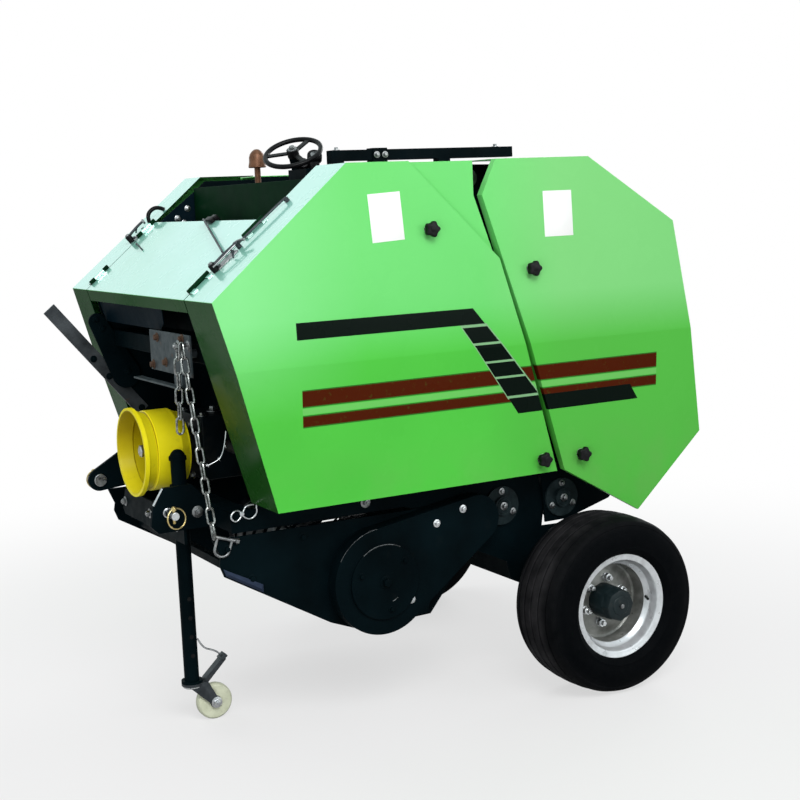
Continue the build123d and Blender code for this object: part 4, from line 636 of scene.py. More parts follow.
def bar(bm, centre, size, ease=0.0, finish=0, turn=None):
    """Rectangular bar with eased edges."""
    part = bmesh.new()
    place = Matrix.Translation(centre) @ (turn.to_4x4() if turn else Matrix.Identity(4))
    bmesh.ops.create_cube(part, size=1.0, matrix=place @ Matrix.Diagonal((*size, 1.0)))
    if ease:
        rounded(part, part.edges, ease)
    join(bm, part, finish)


def wire(bm, points, radius, smooth=True, closed=False, finish=0, sides=4):
    """Round wire bent along points."""
    curve = bpy.data.curves.new("wire", "CURVE")
    curve.dimensions = "3D"
    curve.bevel_depth = radius
    curve.bevel_resolution = sides
    curve.resolution_u = 8
    curve.use_fill_caps = not closed
    spline = curve.splines.new("NURBS" if smooth else "POLY")
    spline.points.add(len(points) - 1)
    for point, place in zip(spline.points, points):
        point.co = (*place, 1.0)
    spline.use_cyclic_u = closed
    if smooth:
        spline.order_u = 3
        spline.use_endpoint_u = not closed
    holder = bpy.data.objects.new("wire", curve)
    made = bpy.data.meshes.new_from_object(holder)
    part = bmesh.new()
    part.from_mesh(made)
    bpy.data.objects.remove(holder)
    bpy.data.curves.remove(curve)
    bpy.data.meshes.remove(made)
    join(bm, part, finish)


def slope_wire(bm, points, radius, smooth=True, finish=0):
    """Wire on the nose's slope, along (x, distance up, height off) points."""
    wire(bm, [on_slope(*point) for point in points], radius, smooth, finish=finish)


def ring(bm, centre, axis, radius, thick, steps=28):
    """Closed wire ring."""
    stand = facing(centre, axis)
    turns = [2 * pi * i / steps for i in range(steps)]
    wire(bm, [stand @ Vector((radius * cos(a), radius * sin(a), 0)) for a in turns], thick, False, True)


def placed(name, data):
    """Adds an object to the scene."""
    item = bpy.data.objects.new(name, data)
    bpy.context.scene.collection.objects.link(item)
    return item


def finished(bm, name, body, finishes, replaced=(), sharp=34.0):
    """Turns a mesh under construction into a piece that rides on a body."""
    mesh = bpy.data.meshes.new(name)
    bm.to_mesh(mesh)
    bm.free()
    for finish in finishes:
        mesh.materials.append(surface(finish))
    for polygon in mesh.polygons:
        polygon.use_smooth = True
    mesh.set_sharp_from_angle(angle=radians(sharp))
    piece = placed(name, mesh)
    if body:
        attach(piece, body)
    if replaced:
        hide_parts(*replaced)
    return piece


def eased(node, finish, edge, slope=None, seam=0.0):
    """Copy of a frame node with merged faces and eased edges, which then stands for the node. Faces along the
    nose's slope take a second finish, and what lies in a seam takes a darker green as painted shade."""
    source = frame["nodes"][node]
    bm = bmesh.new()
    bm.from_mesh(source.data)
    for face in bm.faces:
        face.material_index = 0
    bmesh.ops.remove_doubles(bm, verts=bm.verts, dist=2e-6)
    bmesh.ops.dissolve_limit(bm, angle_limit=radians(0.4), use_dissolve_boundaries=False,
                             verts=bm.verts, edges=bm.edges, delimit=set())
    finishes = (finish, slope, "dark_green_paint") if slope else (finish,)
    if slope:
        for face in bm.faces:
            centre = face.calc_center_median()
            proud = (centre - SLOPE_FOOT).dot(OFF_SLOPE) > 0.0003 and centre.z < SLOPE_TOP.z
            # Faces in a seam take the darker green as painted shade.
            if abs(abs(centre.x) - seam) < SEAM_REACH:
                face.material_index = 2
            elif face.normal.dot(OFF_SLOPE) > 0.97 or proud:
                face.material_index = 1
    piece = finished(bm, node + "_finished", source["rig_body"], finishes, (node,), 30.0)
    modifier = piece.modifiers.new("edges", "BEVEL")
    for key, value in (("limit_method", "ANGLE"), ("angle_limit", radians(26.0)), ("width", edge),
                       ("segments", 2), ("use_clamp_overlap", True), ("harden_normals", True)):
        setattr(modifier, key, value)


# ---------------------------------------- steps
class BALER_OT_sheet_metal(bpy.types.Operator):
    """Eases the covers, the nose and the fixed panels, and paints them"""
    bl_idname = "baler.sheet_metal"
    bl_label = "Sheet metal"

    def execute(self, context):
        edge = context.scene.baler_sizes.edge_radius
        for side, seam in (("left", SEAM_LEFT), ("right", SEAM_RIGHT)):
            eased("cover_front_" + side, "banded_panel_paint", edge, "slope_paint", seam)
            eased("cover_rear_" + side, "banded_panel_paint", edge, "panel_paint", SEAM_REAR)
            eased("upper_panel_" + side, "panel_paint", edge)
        eased("nose_panel", "panel_paint", edge, "slope_paint", SEAM_LEFT)
        # The cross panel is the covers' green, painted darker as shade inside the box.
        eased("cross_panel", "dark_green_paint", edge)
        eased("twine_box", "box_paint", edge)
        return {"FINISHED"}


class BALER_OT_frame_metal(bpy.types.Operator):
    """Eases the plates, tubes and housings of the frame and finishes them"""
    bl_idname = "baler.frame_metal"
    bl_label = "Frame"

    def execute(self, context):
        for finish, edge, nodes in (
                ("chassis_paint", 0.0012, "side_wall_left side_wall_right gate_wall_left gate_wall_right"),
                ("chassis_paint", 0.002, "hitch_beam"),
                ("chassis_paint", 0.003, "cross_tubes gate_tubes axle_beam"),
                ("gearbox_paint", 0.006, "gearbox"),
                ("chassis_paint", 0.0015, "top_bar"),
                ("pickup_paint", 0.0012, "pickup_plate_left pickup_plate_right"),
                ("chassis_paint", 0.005, "pickup_chain_guard"),
                ("chassis_paint", 0.002, "pickup_tubes"),
                ("chassis_paint", 0.001, "jack_sleeve"),
                ("lever_steel", 0.001, "hand_lever"),
                ("bare_plate", 0.001, "steel_plate"),
                ("box_paint", 0.001, "guide_plate"),
                ("chassis_paint", 0.001, "tension_arm"),
                ("zinc_plate", 0.0015, "lower_link_pins"),
                ("lever_steel", 0.0012, "caster_fork"),
                ("caster_nylon", 0.003, "caster_wheel")):
            for node in nodes.split():
                eased(node, finish, edge)
        for finish, nodes in (
                ("chassis_paint", "bulkhead inlet_floor deck pickup_reel twine_gear jack_leg"),
                ("dull_zinc", "pivot_shaft pickup_bands"),
                ("roller_steel", "front_rollers gate_rollers cross_shaft drive_chain"),
                ("knob_plastic", "handwheel"),
                ("grey_housing", "front_bearings gate_bearings"),
                ("guard_plastic", "pto_guard")):
            for node in nodes.split():
                for slot in frame["nodes"][node].material_slots:
                    slot.material = surface(finish)
        return {"FINISHED"}


class BALER_OT_wheels(bpy.types.Operator):
    """Makes the grooved tyres, the rims and the hubs with their nuts"""
    bl_idname = "baler.wheels"
    bl_label = "Wheels"

    def tyre(self, bm, centre, sizes):
        radius = WHEEL.z
        half, depth, lip = sizes.groove_width / 2, sizes.groove_depth, 0.0015
        crown = []
        for groove in (-0.066, -0.033, 0.0, 0.033, 0.066):
            top = radius - groove ** 2 * 1.1
            crown += [(groove - half - lip, top), (groove - half, top - lip),
                      (groove - half + 0.001, top - depth), (groove + half - 0.001, top - depth),
                      (groove + half, top - lip), (groove + half + lip, top)]
        side = [(x, radius - drop) for x, drop in (
            (0.086, 0.01), (0.0915, 0.014), (0.0955, 0.022), (0.0945, 0.024), (0.0985, 0.034),
            (0.103, 0.048), (0.105, 0.064), (0.1042, 0.076), (0.1012, 0.087), (0.1018, 0.09),
            (0.0975, 0.097), (0.0905, 0.104), (0.0845, 0.108), (0.08, 0.111))]
        side += [(0.08, 0.1352), (0.066, 0.1352), (0.084, 0.17), (0.09, 0.2), (0.082, 0.236)]
        turned(bm, [(-x, r) for x, r in reversed(side)] + crown + side, centre, ACROSS, 96)

    def rim(self, bm, centre, sign):
        lip = [(0.0803, 0.1513), (0.0812, 0.1545), (0.0826, 0.156), (0.0843, 0.155), (0.0843, 0.15),
               (0.0828, 0.147), (0.0822, 0.14), (0.0805, 0.1348), (0.076, 0.1318), (0.056, 0.13),
               (0.05, 0.127), (0.044, 0.119), (0.04, 0.116)]
        well = [(0.01, 0.115), (-0.004, 0.113), (-0.008, 0.108), (-0.0082, 0.094), (-0.006, 0.09),
                (-0.006, 0.05), (-0.012, 0.05), (-0.012, 0.108), (-0.012, 0.117)]
        back = [(-0.04, 0.119), (-0.05, 0.127), (-0.056, 0.13), (-0.076, 0.1318), (-0.0843, 0.14),
                (-0.0843, 0.155), (-0.0826, 0.156), (-0.0803, 0.1513), (-0.0803, 0.1347), (-0.054, 0.133),
                (-0.042, 0.123), (0.042, 0.12), (0.054, 0.133), (0.0803, 0.1347)]
        turned(bm, [(sign * x, r) for x, r in lip + well + back], centre, ACROSS, 80)
        # Faces inside the well take the darker silver as painted shade.
        for face in bm.faces:
            arm = face.calc_center_median() - centre
            if hypot(arm.y, arm.z) < 0.1165:
                face.material_index = 3

    def execute(self, context):
        sizes = context.scene.baler_sizes
        for side, sign in SIDES:
            body = "wheel_" + side
            centre = Vector((sign * WHEEL.x, WHEEL.y, WHEEL.z))
            out = Vector((sign, 0, 0))
            bm = bmesh.new()
            self.tyre(bm, centre, sizes)
            finished(bm, "tyre_tread_" + side, body, ("tyre_rubber",), ("tyre_" + side,), 30.0)
            bm = bmesh.new()
            self.rim(bm, centre, sign)
            disc = centre - out * 0.006
            for i in range(sizes.rim_nuts):
                angle = tau * (i + 0.3) / sizes.rim_nuts
                spot = disc + Vector((0, cos(angle), sin(angle))) * 0.0675
                button(bm, spot, out, 0.013, 0.003, 20, 0.0008, finish=1)
                bolt(bm, spot + out * 0.0025, out, 0.0215, 1, False, 0.012)
            stem = centre + out * 0.046 + Vector((0, 0.118, 0))
            bend, tip = Vector((sign * 0.012, -0.004, 0)), Vector((sign * 0.026, -0.012, 0))
            wire(bm, [stem, stem + bend, stem + tip], 0.004, finish=2)
            finished(bm, "rim_dressed_" + side, body,
                     ("rim_silver", "zinc_plate", "knob_plastic", "rim_inner"), ("rim_" + side,))
            bm = bmesh.new()
            turned(bm, [(-0.082, 0.0205), (-0.082, 0.046), (-0.022, 0.046), (-0.022, 0.078), (-0.0125, 0.078),
                        (-0.0125, 0.0495), (0.05, 0.048), (0.056, 0.044), (0.056, 0), (0.04, 0),
                        (0.04, 0.0205)], centre, out, 40)
            button(bm, centre + out * 0.052, out, 0.049, 0.029, 8, 0.004, 0.95)
            button(bm, centre + out * 0.0805, out, 0.03, 0.003, 8, 0.001, 0.94)
            bolt(bm, centre + out * 0.083, out, 0.012, 1, False)
            finished(bm, "hub_dressed_" + side, body, ("hub_paint", "dull_zinc"), ("hub_" + side,))
        return {"FINISHED"}


class BALER_OT_knobs(bpy.types.Operator):
    """Makes the star knobs that clamp the covers"""
    bl_idname = "baler.knobs"
    bl_label = "Star knobs"

    def star(self, bm, foot, out):
        button(bm, foot, out, 0.015, 0.0014, 24, 0.0004, finish=1)
        button(bm, foot + out * 0.0013, out, 0.0095, 0.012)
        part = bmesh.new()
        base = foot + out * 0.0125
        corners = bmesh.ops.create_circle(part, cap_ends=True, segments=60, radius=0.022,
                                          matrix=facing(base, out))["verts"]
        for vert in corners:
            arm = vert.co - base
            vert.co = base + arm * (0.885 + 0.115 * cos(5 * atan2(arm.z, arm.y)))
        rounded(part, rim_of(raised(part, corners, out * 0.013)), 0.0028, 3)
        join(bm, part)
        button(bm, foot + out * 0.0253, out, 0.008, 0.001, 20, 0.0004)

    def execute(self, context):
        for side, sign in SIDES:
            for which, places in (("front", ((-0.072, 1.367), (0.270, 0.705))),
                                  ("rear", ((0.245, 1.245), (0.405, 0.705)))):
                bm = bmesh.new()
                for y, z in places:
                    face = max(cover_face(z - 0.009), cover_face(z + 0.009))
                    self.star(bm, Vector((sign * (face + 0.0003), y, z)), Vector((sign, 0, 0)))
                finished(bm, f"star_knobs_{which}_{side}", f"cover_{which}_{side}",
                         ("knob_plastic", "zinc_plate"), (f"knobs_{which}_{side}",))
        return {"FINISHED"}


class BALER_OT_labels(bpy.types.Operator):
    """Lays the blank white plates on the covers"""
    bl_idname = "baler.labels"
    bl_label = "Blank plates"

    def execute(self, context):
        size = (0.0008, context.scene.baler_sizes.label_width, 0.126)
        tilt = atan2(COVER_BULGE, COVER_HIGH.z - CREASE_Z)
        for side, sign in SIDES:
            for cover, y, z, lean in (("cover_front_", -0.198, 1.404, 0.055),
                                      ("cover_rear_", 0.346, 1.392, 0)):
                bm = bmesh.new()
                turn = Matrix.Rotation(sign * -tilt, 3, "Y") @ Matrix.Rotation(lean, 3, "X")
                bar(bm, (sign * (cover_face(z) + SEATING), y, z), size, 0.0002, turn=turn)
                finished(bm, "blank_plate_" + cover + side, cover + side, ("blank_label",))
        return {"FINISHED"}


class BALER_OT_lift_chain(bpy.types.Operator):
    """Hangs the pickup's round-wire chain from its hook to its shackle"""
    bl_idname = "baler.lift_chain"
    bl_label = "Lift chain"

    def link(self, bm, place, along, across, sizes):
        radius = (sizes.chain_width - sizes.chain_wire) / 2
        straight = sizes.chain_pitch + sizes.chain_wire - 2 * radius
        points = []
        for end in (1, -1):
            for i in range(7):
                turn = pi * i / 6
                points.append(place + across * (end * radius * cos(turn))
                              + along * (end * (straight / 2 + radius * sin(turn))))
        wire(bm, points, sizes.chain_wire / 2, False, True, 0, 2)

    def strand(self, bm, start, along, pitch, count, sizes):
        for i in range(count):
            side = Vector((0, 1, 0)) if i % 2 else Vector(ACROSS)
            across = (side - along * side.dot(along)).normalized()
            self.link(bm, start + along * (pitch * (i + 0.5) - HOOK_RADIUS), along, across, sizes)

    def execute(self, context):
        sizes = context.scene.baler_sizes
        bm = bmesh.new()
        run = SHACKLE_HEAD.lerp(SHACKLE_END, 0.05) - CHAIN_TOP
        pitch = (run.length + 2 * HOOK_RADIUS) / CHAIN_LINKS
        self.strand(bm, CHAIN_TOP, run.normalized(), pitch, CHAIN_LINKS, sizes)
        spare, hang = CHAIN_TOP + Vector((-0.002, -0.011, 0)), Vector((-0.06, -0.01, -1)).normalized()
        self.strand(bm, spare, hang, pitch, SPARE_LINKS, sizes)
        foot = Vector((CHAIN_TOP.x, PLATE_FACE, CHAIN_TOP.z))
        button(bm, foot, FORWARD, HOOK_RADIUS, 0.027, finish=1)
        button(bm, foot, FORWARD, 0.012, 0.002, 24, 0.0004, finish=1)
        bolt(bm, foot + FORWARD * 0.0265, FORWARD, 0.016, 1, True, 0.004)
        pin = SHACKLE_END - SHACKLE_HEAD
        along = pin.normalized()
        down = Vector((0, along.z, -along.y))
        button(bm, SHACKLE_HEAD, along, 0.0048, pin.length, 20, 0.001, finish=1)
        button(bm, SHACKLE_HEAD + along * 0.002, along, 0.0085, 0.005, 20, 0.001, finish=1)
        bolt(bm, SHACKLE_END - along * 0.009, along, 0.015, 1, False)
        near, far = (SHACKLE_HEAD.lerp(SHACKLE_END, share) for share in (0.19, 0.75))
        wire(bm, [near, near + down * 0.024, near + down * 0.042 + along * 0.002,
                  near.lerp(far, 0.5) + down * 0.05, far + down * 0.042 - along * 0.002, far + down * 0.024,
                  far], 0.0038, finish=1)
        piece = finished(bm, "lift_chain_links", None, ("chain_zinc", "dull_zinc"), ("lift_chain",))
        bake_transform(piece)
        return {"FINISHED"}


class BALER_OT_latches(bpy.types.Operator):
    """Fits the catches, rods and stays along the nose's seams"""
    bl_idname = "baler.latches"
    bl_label = "Latches"

    def latch(self, bm, x, foot, size):
        """Plate, knob, swinging arm and cross bar, a distance up the slope."""
        sign = copysign(1, x)
        bar(bm, on_slope(x, foot + 0.04 * size, 0.0022), (0.028, 0.072 * size, 0.004), 0.0008, 0, SLOPE_TURN)
        for spot in (0.014, 0.066):
            bolt(bm, on_slope(x, foot + spot * size, 0.004), OFF_SLOPE, 0.009, 1, False)
        button(bm, on_slope(x, foot, 0.001), OFF_SLOPE, 0.01, 0.024, 24, 0.002, finish=2)
        button(bm, on_slope(x, foot, 0.0248), OFF_SLOPE, 0.0065, 0.004, 20, 0.001)
        start = on_slope(x + sign * 0.003, foot - 0.004, 0.018)
        end = on_slope(x + sign * 0.016, foot + 0.086 * size, 0.02)
        half, beside = start.lerp(end, 0.5), Vector((sign * 0.01, 0, 0))
        wire(bm, [start, half + OFF_SLOPE * 0.004, end], 0.0042, finish=1)
        wire(bm, [start + beside, half + beside, end], 0.0026)
        for bends, thick, finish in (
                (((-0.006, 0.084, 0.017), (0.014, 0.094, 0.023), (0.04, 0.1, 0.018)), 0.0036, 0),
                (((0.02, 0.06, 0.018), (0.032, 0.056, 0.014), (0.038, 0.046, 0.004)), 0.0026, 1)):
            points = [(x + sign * out, foot + along * size, height) for out, along, height in bends]
            slope_wire(bm, points, thick, finish=finish)

    def execute(self, context):
        finishes = ("dull_zinc", "lever_steel", "knob_plastic")
        bm = bmesh.new()
        self.latch(bm, 0.434, 0.108, 1.0)
        slope_wire(bm, ((0.437, 0.19, 0.012), (0.444, 0.28, 0.014), (0.452, 0.376, 0.012)), 0.0032, finish=1)
        for along, x in ((0.196, 0.437), (0.372, 0.452)):
            bar(bm, on_slope(x, along, 0.006), (0.01, 0.012, 0.012), 0.001, 1, SLOPE_TURN)
        finished(bm, "latch_left", "cover_front_left", finishes)
        bm = bmesh.new()
        self.latch(bm, -0.466, 0.215, 0.8)
        slope_wire(bm, ((-0.466, 0.296, 0.002), (-0.467, 0.304, 0.024), (-0.468, 0.328, 0.031),
                        (-0.469, 0.352, 0.022), (-0.47, 0.362, 0.002)), 0.0065, finish=2)
        finished(bm, "latch_right", "cover_front_right", finishes)
        bm = bmesh.new()
        top = (NOSE_TOP_Y - SLOPE_FOOT.y) / UP_SLOPE.y
        bar(bm, on_slope(0.052, top - 0.006, 0.008), (0.044, 0.018, 0.014), 0.003, 0, SLOPE_TURN)
        bar(bm, on_slope(0.058, top + 0.006, 0.002), (0.026, 0.016, 0.02), 0.003, 0, SLOPE_TURN)
        slope_wire(bm, ((0.012, top - 0.008, 0.013), (0.02, top - 0.01, 0.013), (0.385, 0.168, 0.013),
                        (0.392, 0.165, 0.003)), 0.003, False, 1)
        slope_wire(bm, ((-0.395, 0.2, 0.002), (-0.38, 0.2, 0.012), (-0.3, 0.18, 0.01),
                        (-0.292, 0.178, 0.001)), 0.0024, finish=1)
        finished(bm, "nose_stays", "frame", ("knob_plastic", "lever_steel"))
        bm = bmesh.new()
        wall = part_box("twine_box")[0].x + 0.0031
        bolts(bm, ((wall, -0.4, 1.42), (wall, -0.365, 1.45), (wall, -0.378, 1.405)), ACROSS, 0.011)
        finished(bm, "twine_fittings", "frame", ("zinc_plate",))
        return {"FINISHED"}


class BALER_OT_hitch(bpy.types.Operator):
    """Fits the linchpins, the spring clip, the jack's pin, and a painted highlight along the hitch ear's worn
    edge
    """
    bl_idname = "baler.hitch"
    bl_label = "Hitch"

    def execute(self, context):
        bm = bmesh.new()
        for sign in (1, -1):
            pin = Vector((sign * 0.352, LINK_PIN.y, LINK_PIN.z))
            button(bm, pin + Vector((0, 0, -0.021)), UP, 0.0042, 0.046, 16, 0.001)
            button(bm, pin + Vector((0, 0, 0.014)), UP, 0.0075, 0.009, 20, 0.0015)
            ring(bm, pin + Vector((0.002 * sign, 0.006, -0.008)), (1, 0.22 * sign, 0.1), 0.0275, 0.0022)
        finished(bm, "linchpins", "frame", ("yellow_zinc",))
        bm = bmesh.new()
        eye = Vector((0.4285, -0.585, 0.650))
        button(bm, (WALL_OUTER, eye.y - 0.001, eye.z - 0.006), ACROSS, 0.0065, 0.01, 16, 0.001)
        curl = ((48, 21), (40, 12), (44, -8), (28, -25), (6, -18), (-3, 2), (-19, 5), (-35, -10), (-22, -27),
                (-5, -18), (5, -2), (15, 15), (36, 14))
        points = [eye + Vector((0.003 * sin(i), y / 1000, z / 1000)) for i, (y, z) in enumerate(curl)]
        wire(bm, points, 0.0023)
        wire(bm, ((0.43, -0.677, 0.784), (0.431, -0.652, 0.79), (0.43, -0.625, 0.809),
                  (0.43, -0.616, 0.869)), 0.0016)
        for place in ((0.4305, -0.64, 0.798), (0.4305, -0.621, 0.83), (0.43, -0.672, 0.785)):
            ring(bm, place, (0.3, 1, 0.4), 0.0042, 0.0012, 12)
        button(bm, (0.116, JACK.y, 0.6), ACROSS, 0.006, 0.08, 20, 0.001)
        ring(bm, (0.196, JACK.y, 0.588), (0.4, 1, 0), 0.014, 0.0018, 20)
        finished(bm, "spring_clips", "frame", ("zinc_plate",))
        bm = bmesh.new()
        bolts(bm, [(x, -0.7, 0.592) for x in (-0.198, 0.24, 0.02)], FORWARD, 0.015, 1, True, 0.003)
        for sign in (1, -1):
            bolt(bm, (sign * EAR_OUTER, -0.662, 0.64), (sign, 0, 0), 0.017, 1, True, 0.003)
        # Three thin zinc wires along the near ear's worn chamfered edge: mostly a painted highlight.
        for x in (0.2985, 0.3015, 0.3045):
            wire(bm, ((x, -0.7835, 0.6715), (x, -0.7555, 0.7145)), 0.0017, False)
        finished(bm, "hitch_fittings", "frame", ("zinc_plate", "dull_zinc"))
        return {"FINISHED"}


class BALER_OT_drive(bpy.types.Operator):
    """Cuts the input shaft's splines and bolts the gearbox and the guard"""
    bl_idname = "baler.drive"
    bl_label = "Drive"

    def splines(self, bm, low, high):
        """Six-splined length of the input shaft between two y values."""
        part = bmesh.new()
        centre = Vector((0, low, PTO_Z))
        corners = bmesh.ops.create_circle(part, cap_ends=True, segments=72, radius=SPLINE_RADIUS,
                                          matrix=facing(centre, (0, 1, 0)))["verts"]
        for vert in corners:
            arm = vert.co - centre
            if cos(6 * atan2(arm.z, arm.x)) < -0.1:
                vert.co = centre + arm * 0.84
        raised(part, corners, (0, high - low, 0))
        join(bm, part)

    def execute(self, context):
        bm = bmesh.new()
        tip, root, end = -0.712, -0.606, -0.534
        axle = ((0, 0, PTO_Z), (0, 1, 0))
        self.splines(bm, tip + 0.003, tip + 0.022)
        turned(bm, [(tip, 0), (tip, 0.012), (tip + 0.0035, 0.0146), (tip + 0.03, 0.0146), (tip + 0.03, 0)],
               *axle, 32, False)
        self.splines(bm, tip + 0.029, tip + 0.082)
        turned(bm, [(tip + 0.08, 0), (tip + 0.08, SPLINE_RADIUS), (root, SPLINE_RADIUS), (root, 0.0224),
                    (end, 0.0224), (end, 0)], *axle, 40, False)
        finished(bm, "input_splines", "pto_shaft", ("zinc_plate",), ("pto_shaft",))
        low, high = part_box("gearbox")
        bm = bmesh.new()
        for x in (low.x + 0.018, high.x - 0.018):
            bolts(bm, [(x, low.y + 0.024, z) for z in (low.z + 0.018, high.z - 0.018)], FORWARD)
            bolts(bm, [(x, y, high.z) for y in (low.y + 0.06, high.y - 0.04)], UP)
        bolt(bm, (0, -0.48, high.z), UP, 0.022)
        for turn in range(30, 360, 60):
            angle = radians(turn)
            bolt(bm, (0.078 * cos(angle), GUARD_BACK - 0.004, PTO_Z + 0.078 * sin(angle)), FORWARD, 0.01)
        finished(bm, "gearbox_bolts", "frame", ("dull_zinc",))
        return {"FINISHED"}


class BALER_OT_bearings(bpy.types.Operator):
    """Bolts the rollers' bearing housings and caps their shafts"""
    bl_idname = "baler.bearings"
    bl_label = "Bearings"

    def housing(self, bm, place, out, capped):
        for turn in (90, 210, 330):
            angle = radians(turn)
            bolt(bm, place + Vector((0, cos(angle), sin(angle))) * 0.0425 + out * 0.008, out, 0.0105)
        if capped:
            turned(bm, [(0.0178, 0), (0.0178, 0.014), (0.02, 0.016), (0.02, 0.022), (0.0178, 0.0235),
                        (0.0165, 0.0235), (0.0165, 0)], place, out, 28, False, 1)
            bolt(bm, place + out * 0.0176, out)

    def execute(self, context):
        for name, body, face, angles in (("front", "frame", WALL_OUTER, FRONT_ROLLERS),
                                         ("gate", "tailgate", GATE_WALL_OUTER, GATE_ROLLERS)):
            bm = bmesh.new()
            for side, sign in SIDES:
                for angle in angles:
                    place = roller_place(angle) + Vector((sign * face, 0, 0))
                    self.housing(bm, place, Vector((sign, 0, 0)), sign < 0 or angle not in DRIVEN_ROLLERS)
            finished(bm, "bearing_bolts_" + name, body, ("dull_zinc", "grey_housing"))
        return {"FINISHED"}


class BALER_OT_caster(bpy.types.Operator):
    """Finishes the parking jack's foot: its race, its axle bolt and its brake wire"""
    bl_idname = "baler.caster"
    bl_label = "Jack and caster"

    def execute(self, context):
        bm = bmesh.new()
        for sign in (1, -1):
            bolt(bm, CASTER + Vector((sign * 0.0232, 0, 0)), (sign, 0, 0), 0.017, 0, True, 0.002)
        turned(bm, [(0, 0.0232), (0.002, 0.0262), (0.005, 0.0262), (0.007, 0.0225), (0.007, 0), (0, 0)],
               (JACK.x, JACK.y, 0.1035), UP, 36)
        lever = Vector((JACK.x, -0.558, 0.176))
        bends = ((0, 0, -0.004), (0.004, -0.01, 0.014), (0.008, -0.034, 0.028), (0.014, -0.062, 0.04))
        wire(bm, [lever + Vector(bend) for bend in bends] + [(JACK.x + 0.017, JACK.y + 0.018, 0.246)], 0.0026)
        bar(bm, lever, (0.034, 0.022, 0.01), 0.002, 1, Matrix.Rotation(radians(38), 3, "X"))
        finished(bm, "caster_fittings", "caster_fork", ("zinc_plate", "lever_steel"))
        bm = bmesh.new()
        turned(bm, [(-0.0155, 0.01), (-0.0155, 0.017), (-0.014, 0.019), (0.014, 0.019), (0.0155, 0.017),
                    (0.0155, 0.01)], CASTER, ACROSS)
        finished(bm, "caster_hub", "caster_wheel", ("dull_zinc",))
        bm = bmesh.new()
        # Flat black discs as painted shade where the leg's pin holes are, then the collar at the top.
        for step in range(4):
            button(bm, (JACK.x + 0.0207, JACK.y, 0.2 + 0.055 * step), ACROSS, 0.0062, 0.0006)
        turned(bm, [(0, 0.0212), (0, 0.025), (0.01, 0.025), (0.012, 0.0232), (0.012, 0.0212)],
               (JACK.x, JACK.y, LEG_TOP - 0.03), UP, finish=1)
        finished(bm, "jack_holes", "jack_leg", ("knob_plastic", "chassis_paint"))
        return {"FINISHED"}


class BALER_OT_pickup(bpy.types.Operator):
    """Bolts the pickup's guard and plates and draws painted highlights along their edges"""
    bl_idname = "baler.pickup"
    bl_label = "Pickup"

    def arc(self, bm, x, radius, start, end, thick, count=14):
        """Painted highlight line round the reel's axis."""
        angles = [radians(start + (end - start) * i / count) for i in range(count + 1)]
        wire(bm, [(x, REEL.y + radius * cos(a), REEL.z + radius * sin(a)) for a in angles], thick,
             finish=1, sides=2)

    def execute(self, context):
        face = CHAIN_GUARD_FACE
        shell = face - 0.009
        bm = bmesh.new()
        # Grey arcs on the chain guard's raised edges are painted highlights.
        self.arc(bm, face - 0.0012, 0.1045, 62, 128, 0.0014)
        self.arc(bm, shell - 0.0022, 0.149, 96, 150, 0.0016)
        self.arc(bm, face - 0.0004, 0.06, 288, 306, 0.0016)
        bolts(bm, ((shell, 0.057, 0.577), (shell, -0.03, 0.548), (shell, -0.12, 0.345)), ACROSS, 0.012)
        for turn in (40, 160, 280):
            angle = radians(turn)
            bolt(bm, (face, REEL.y + 0.08 * cos(angle), REEL.z + 0.08 * sin(angle)), ACROSS, 0.011, 2)
        bolt(bm, (face, REEL.y, REEL.z), ACROSS, 0.02, 2)
        for sign in (1, -1):
            out = (sign, 0, 0)
            for y, z in ((-0.64, 0.56), (-0.574, 0.47), (-0.42, 0.56), (-0.046, 0.33), (0.06, 0.47)):
                if sign < 0 or y < -0.4:
                    bolt(bm, (sign * (PLATE_OUTER + SEATING), y, z), out, 0.013, 2)
            bolt(bm, (sign * 0.4502, *PICKUP_PIVOT), out, 0.022, 2)
        finished(bm, "pickup_bolts", "pickup", ("zinc_plate", "worn_edge", "chassis_paint"))
        return {"FINISHED"}


class BALER_OT_twine_gear(bpy.types.Operator):
    """Makes the bell and the fittings round the handwheel"""
    bl_idname = "baler.twine_gear"
    bl_label = "Handwheel and bell"

    def execute(self, context):
        bm = bmesh.new()
        turned(bm, [(0, 0), (0, 0.0125), (0.004, 0.0125), (0.006, 0.009), (0.058, 0.009), (0.058, 0.024),
                    (0.06, 0.0258), (0.066, 0.025), (0.074, 0.0232), (0.088, 0.0228), (0.098, 0.0196),
                    (0.106, 0.013), (0.1105, 0.0065), (0.1115, 0)], BELL, UP, 36, False)
        finished(bm, "bell_dome", "frame", ("aged_copper",), ("signal_bell",), 40.0)
        bm = bmesh.new()
        bolt(bm, HANDWHEEL + HANDWHEEL_AXIS * 0.011, HANDWHEEL_AXIS, 0.014)
        finished(bm, "handwheel_nut", "handwheel", ("dull_zinc",))
        bm = bmesh.new()
        bar(bm, (0.15, -0.196, 1.54), (0.05, 0.03, 0.052), 0.004)
        button(bm, (0.15, -0.186, 1.572), (0.55, -0.2, 0.6), 0.0215, 0.02, 28, 0.003)
        button(bm, (0.161, -0.19, 1.584), (0.55, -0.2, 0.6), 0.0125, 0.004, 24, 0.001, finish=1)
        button(bm, (0.15, -0.223, 1.556), (0.7, -0.3, 0.5), 0.0165, 0.016, 24, 0.003)
        bolts(bm, [(x, y, DECK_TOP) for x in (0.115, 0.215) for y in (-0.24, -0.188)], UP, 0.01, 1)
        bolts(bm, [(0.3232, y, 1.575) for y in (-0.076, -0.05)], ACROSS, 0.01, 1)
        bolts(bm, [(0.3, y, 1.59) for y in (-0.19, 0.33)], UP, 0.011, 1)
        finished(bm, "gear_fittings", "frame", ("knob_plastic", "dull_zinc"))
        return {"FINISHED"}


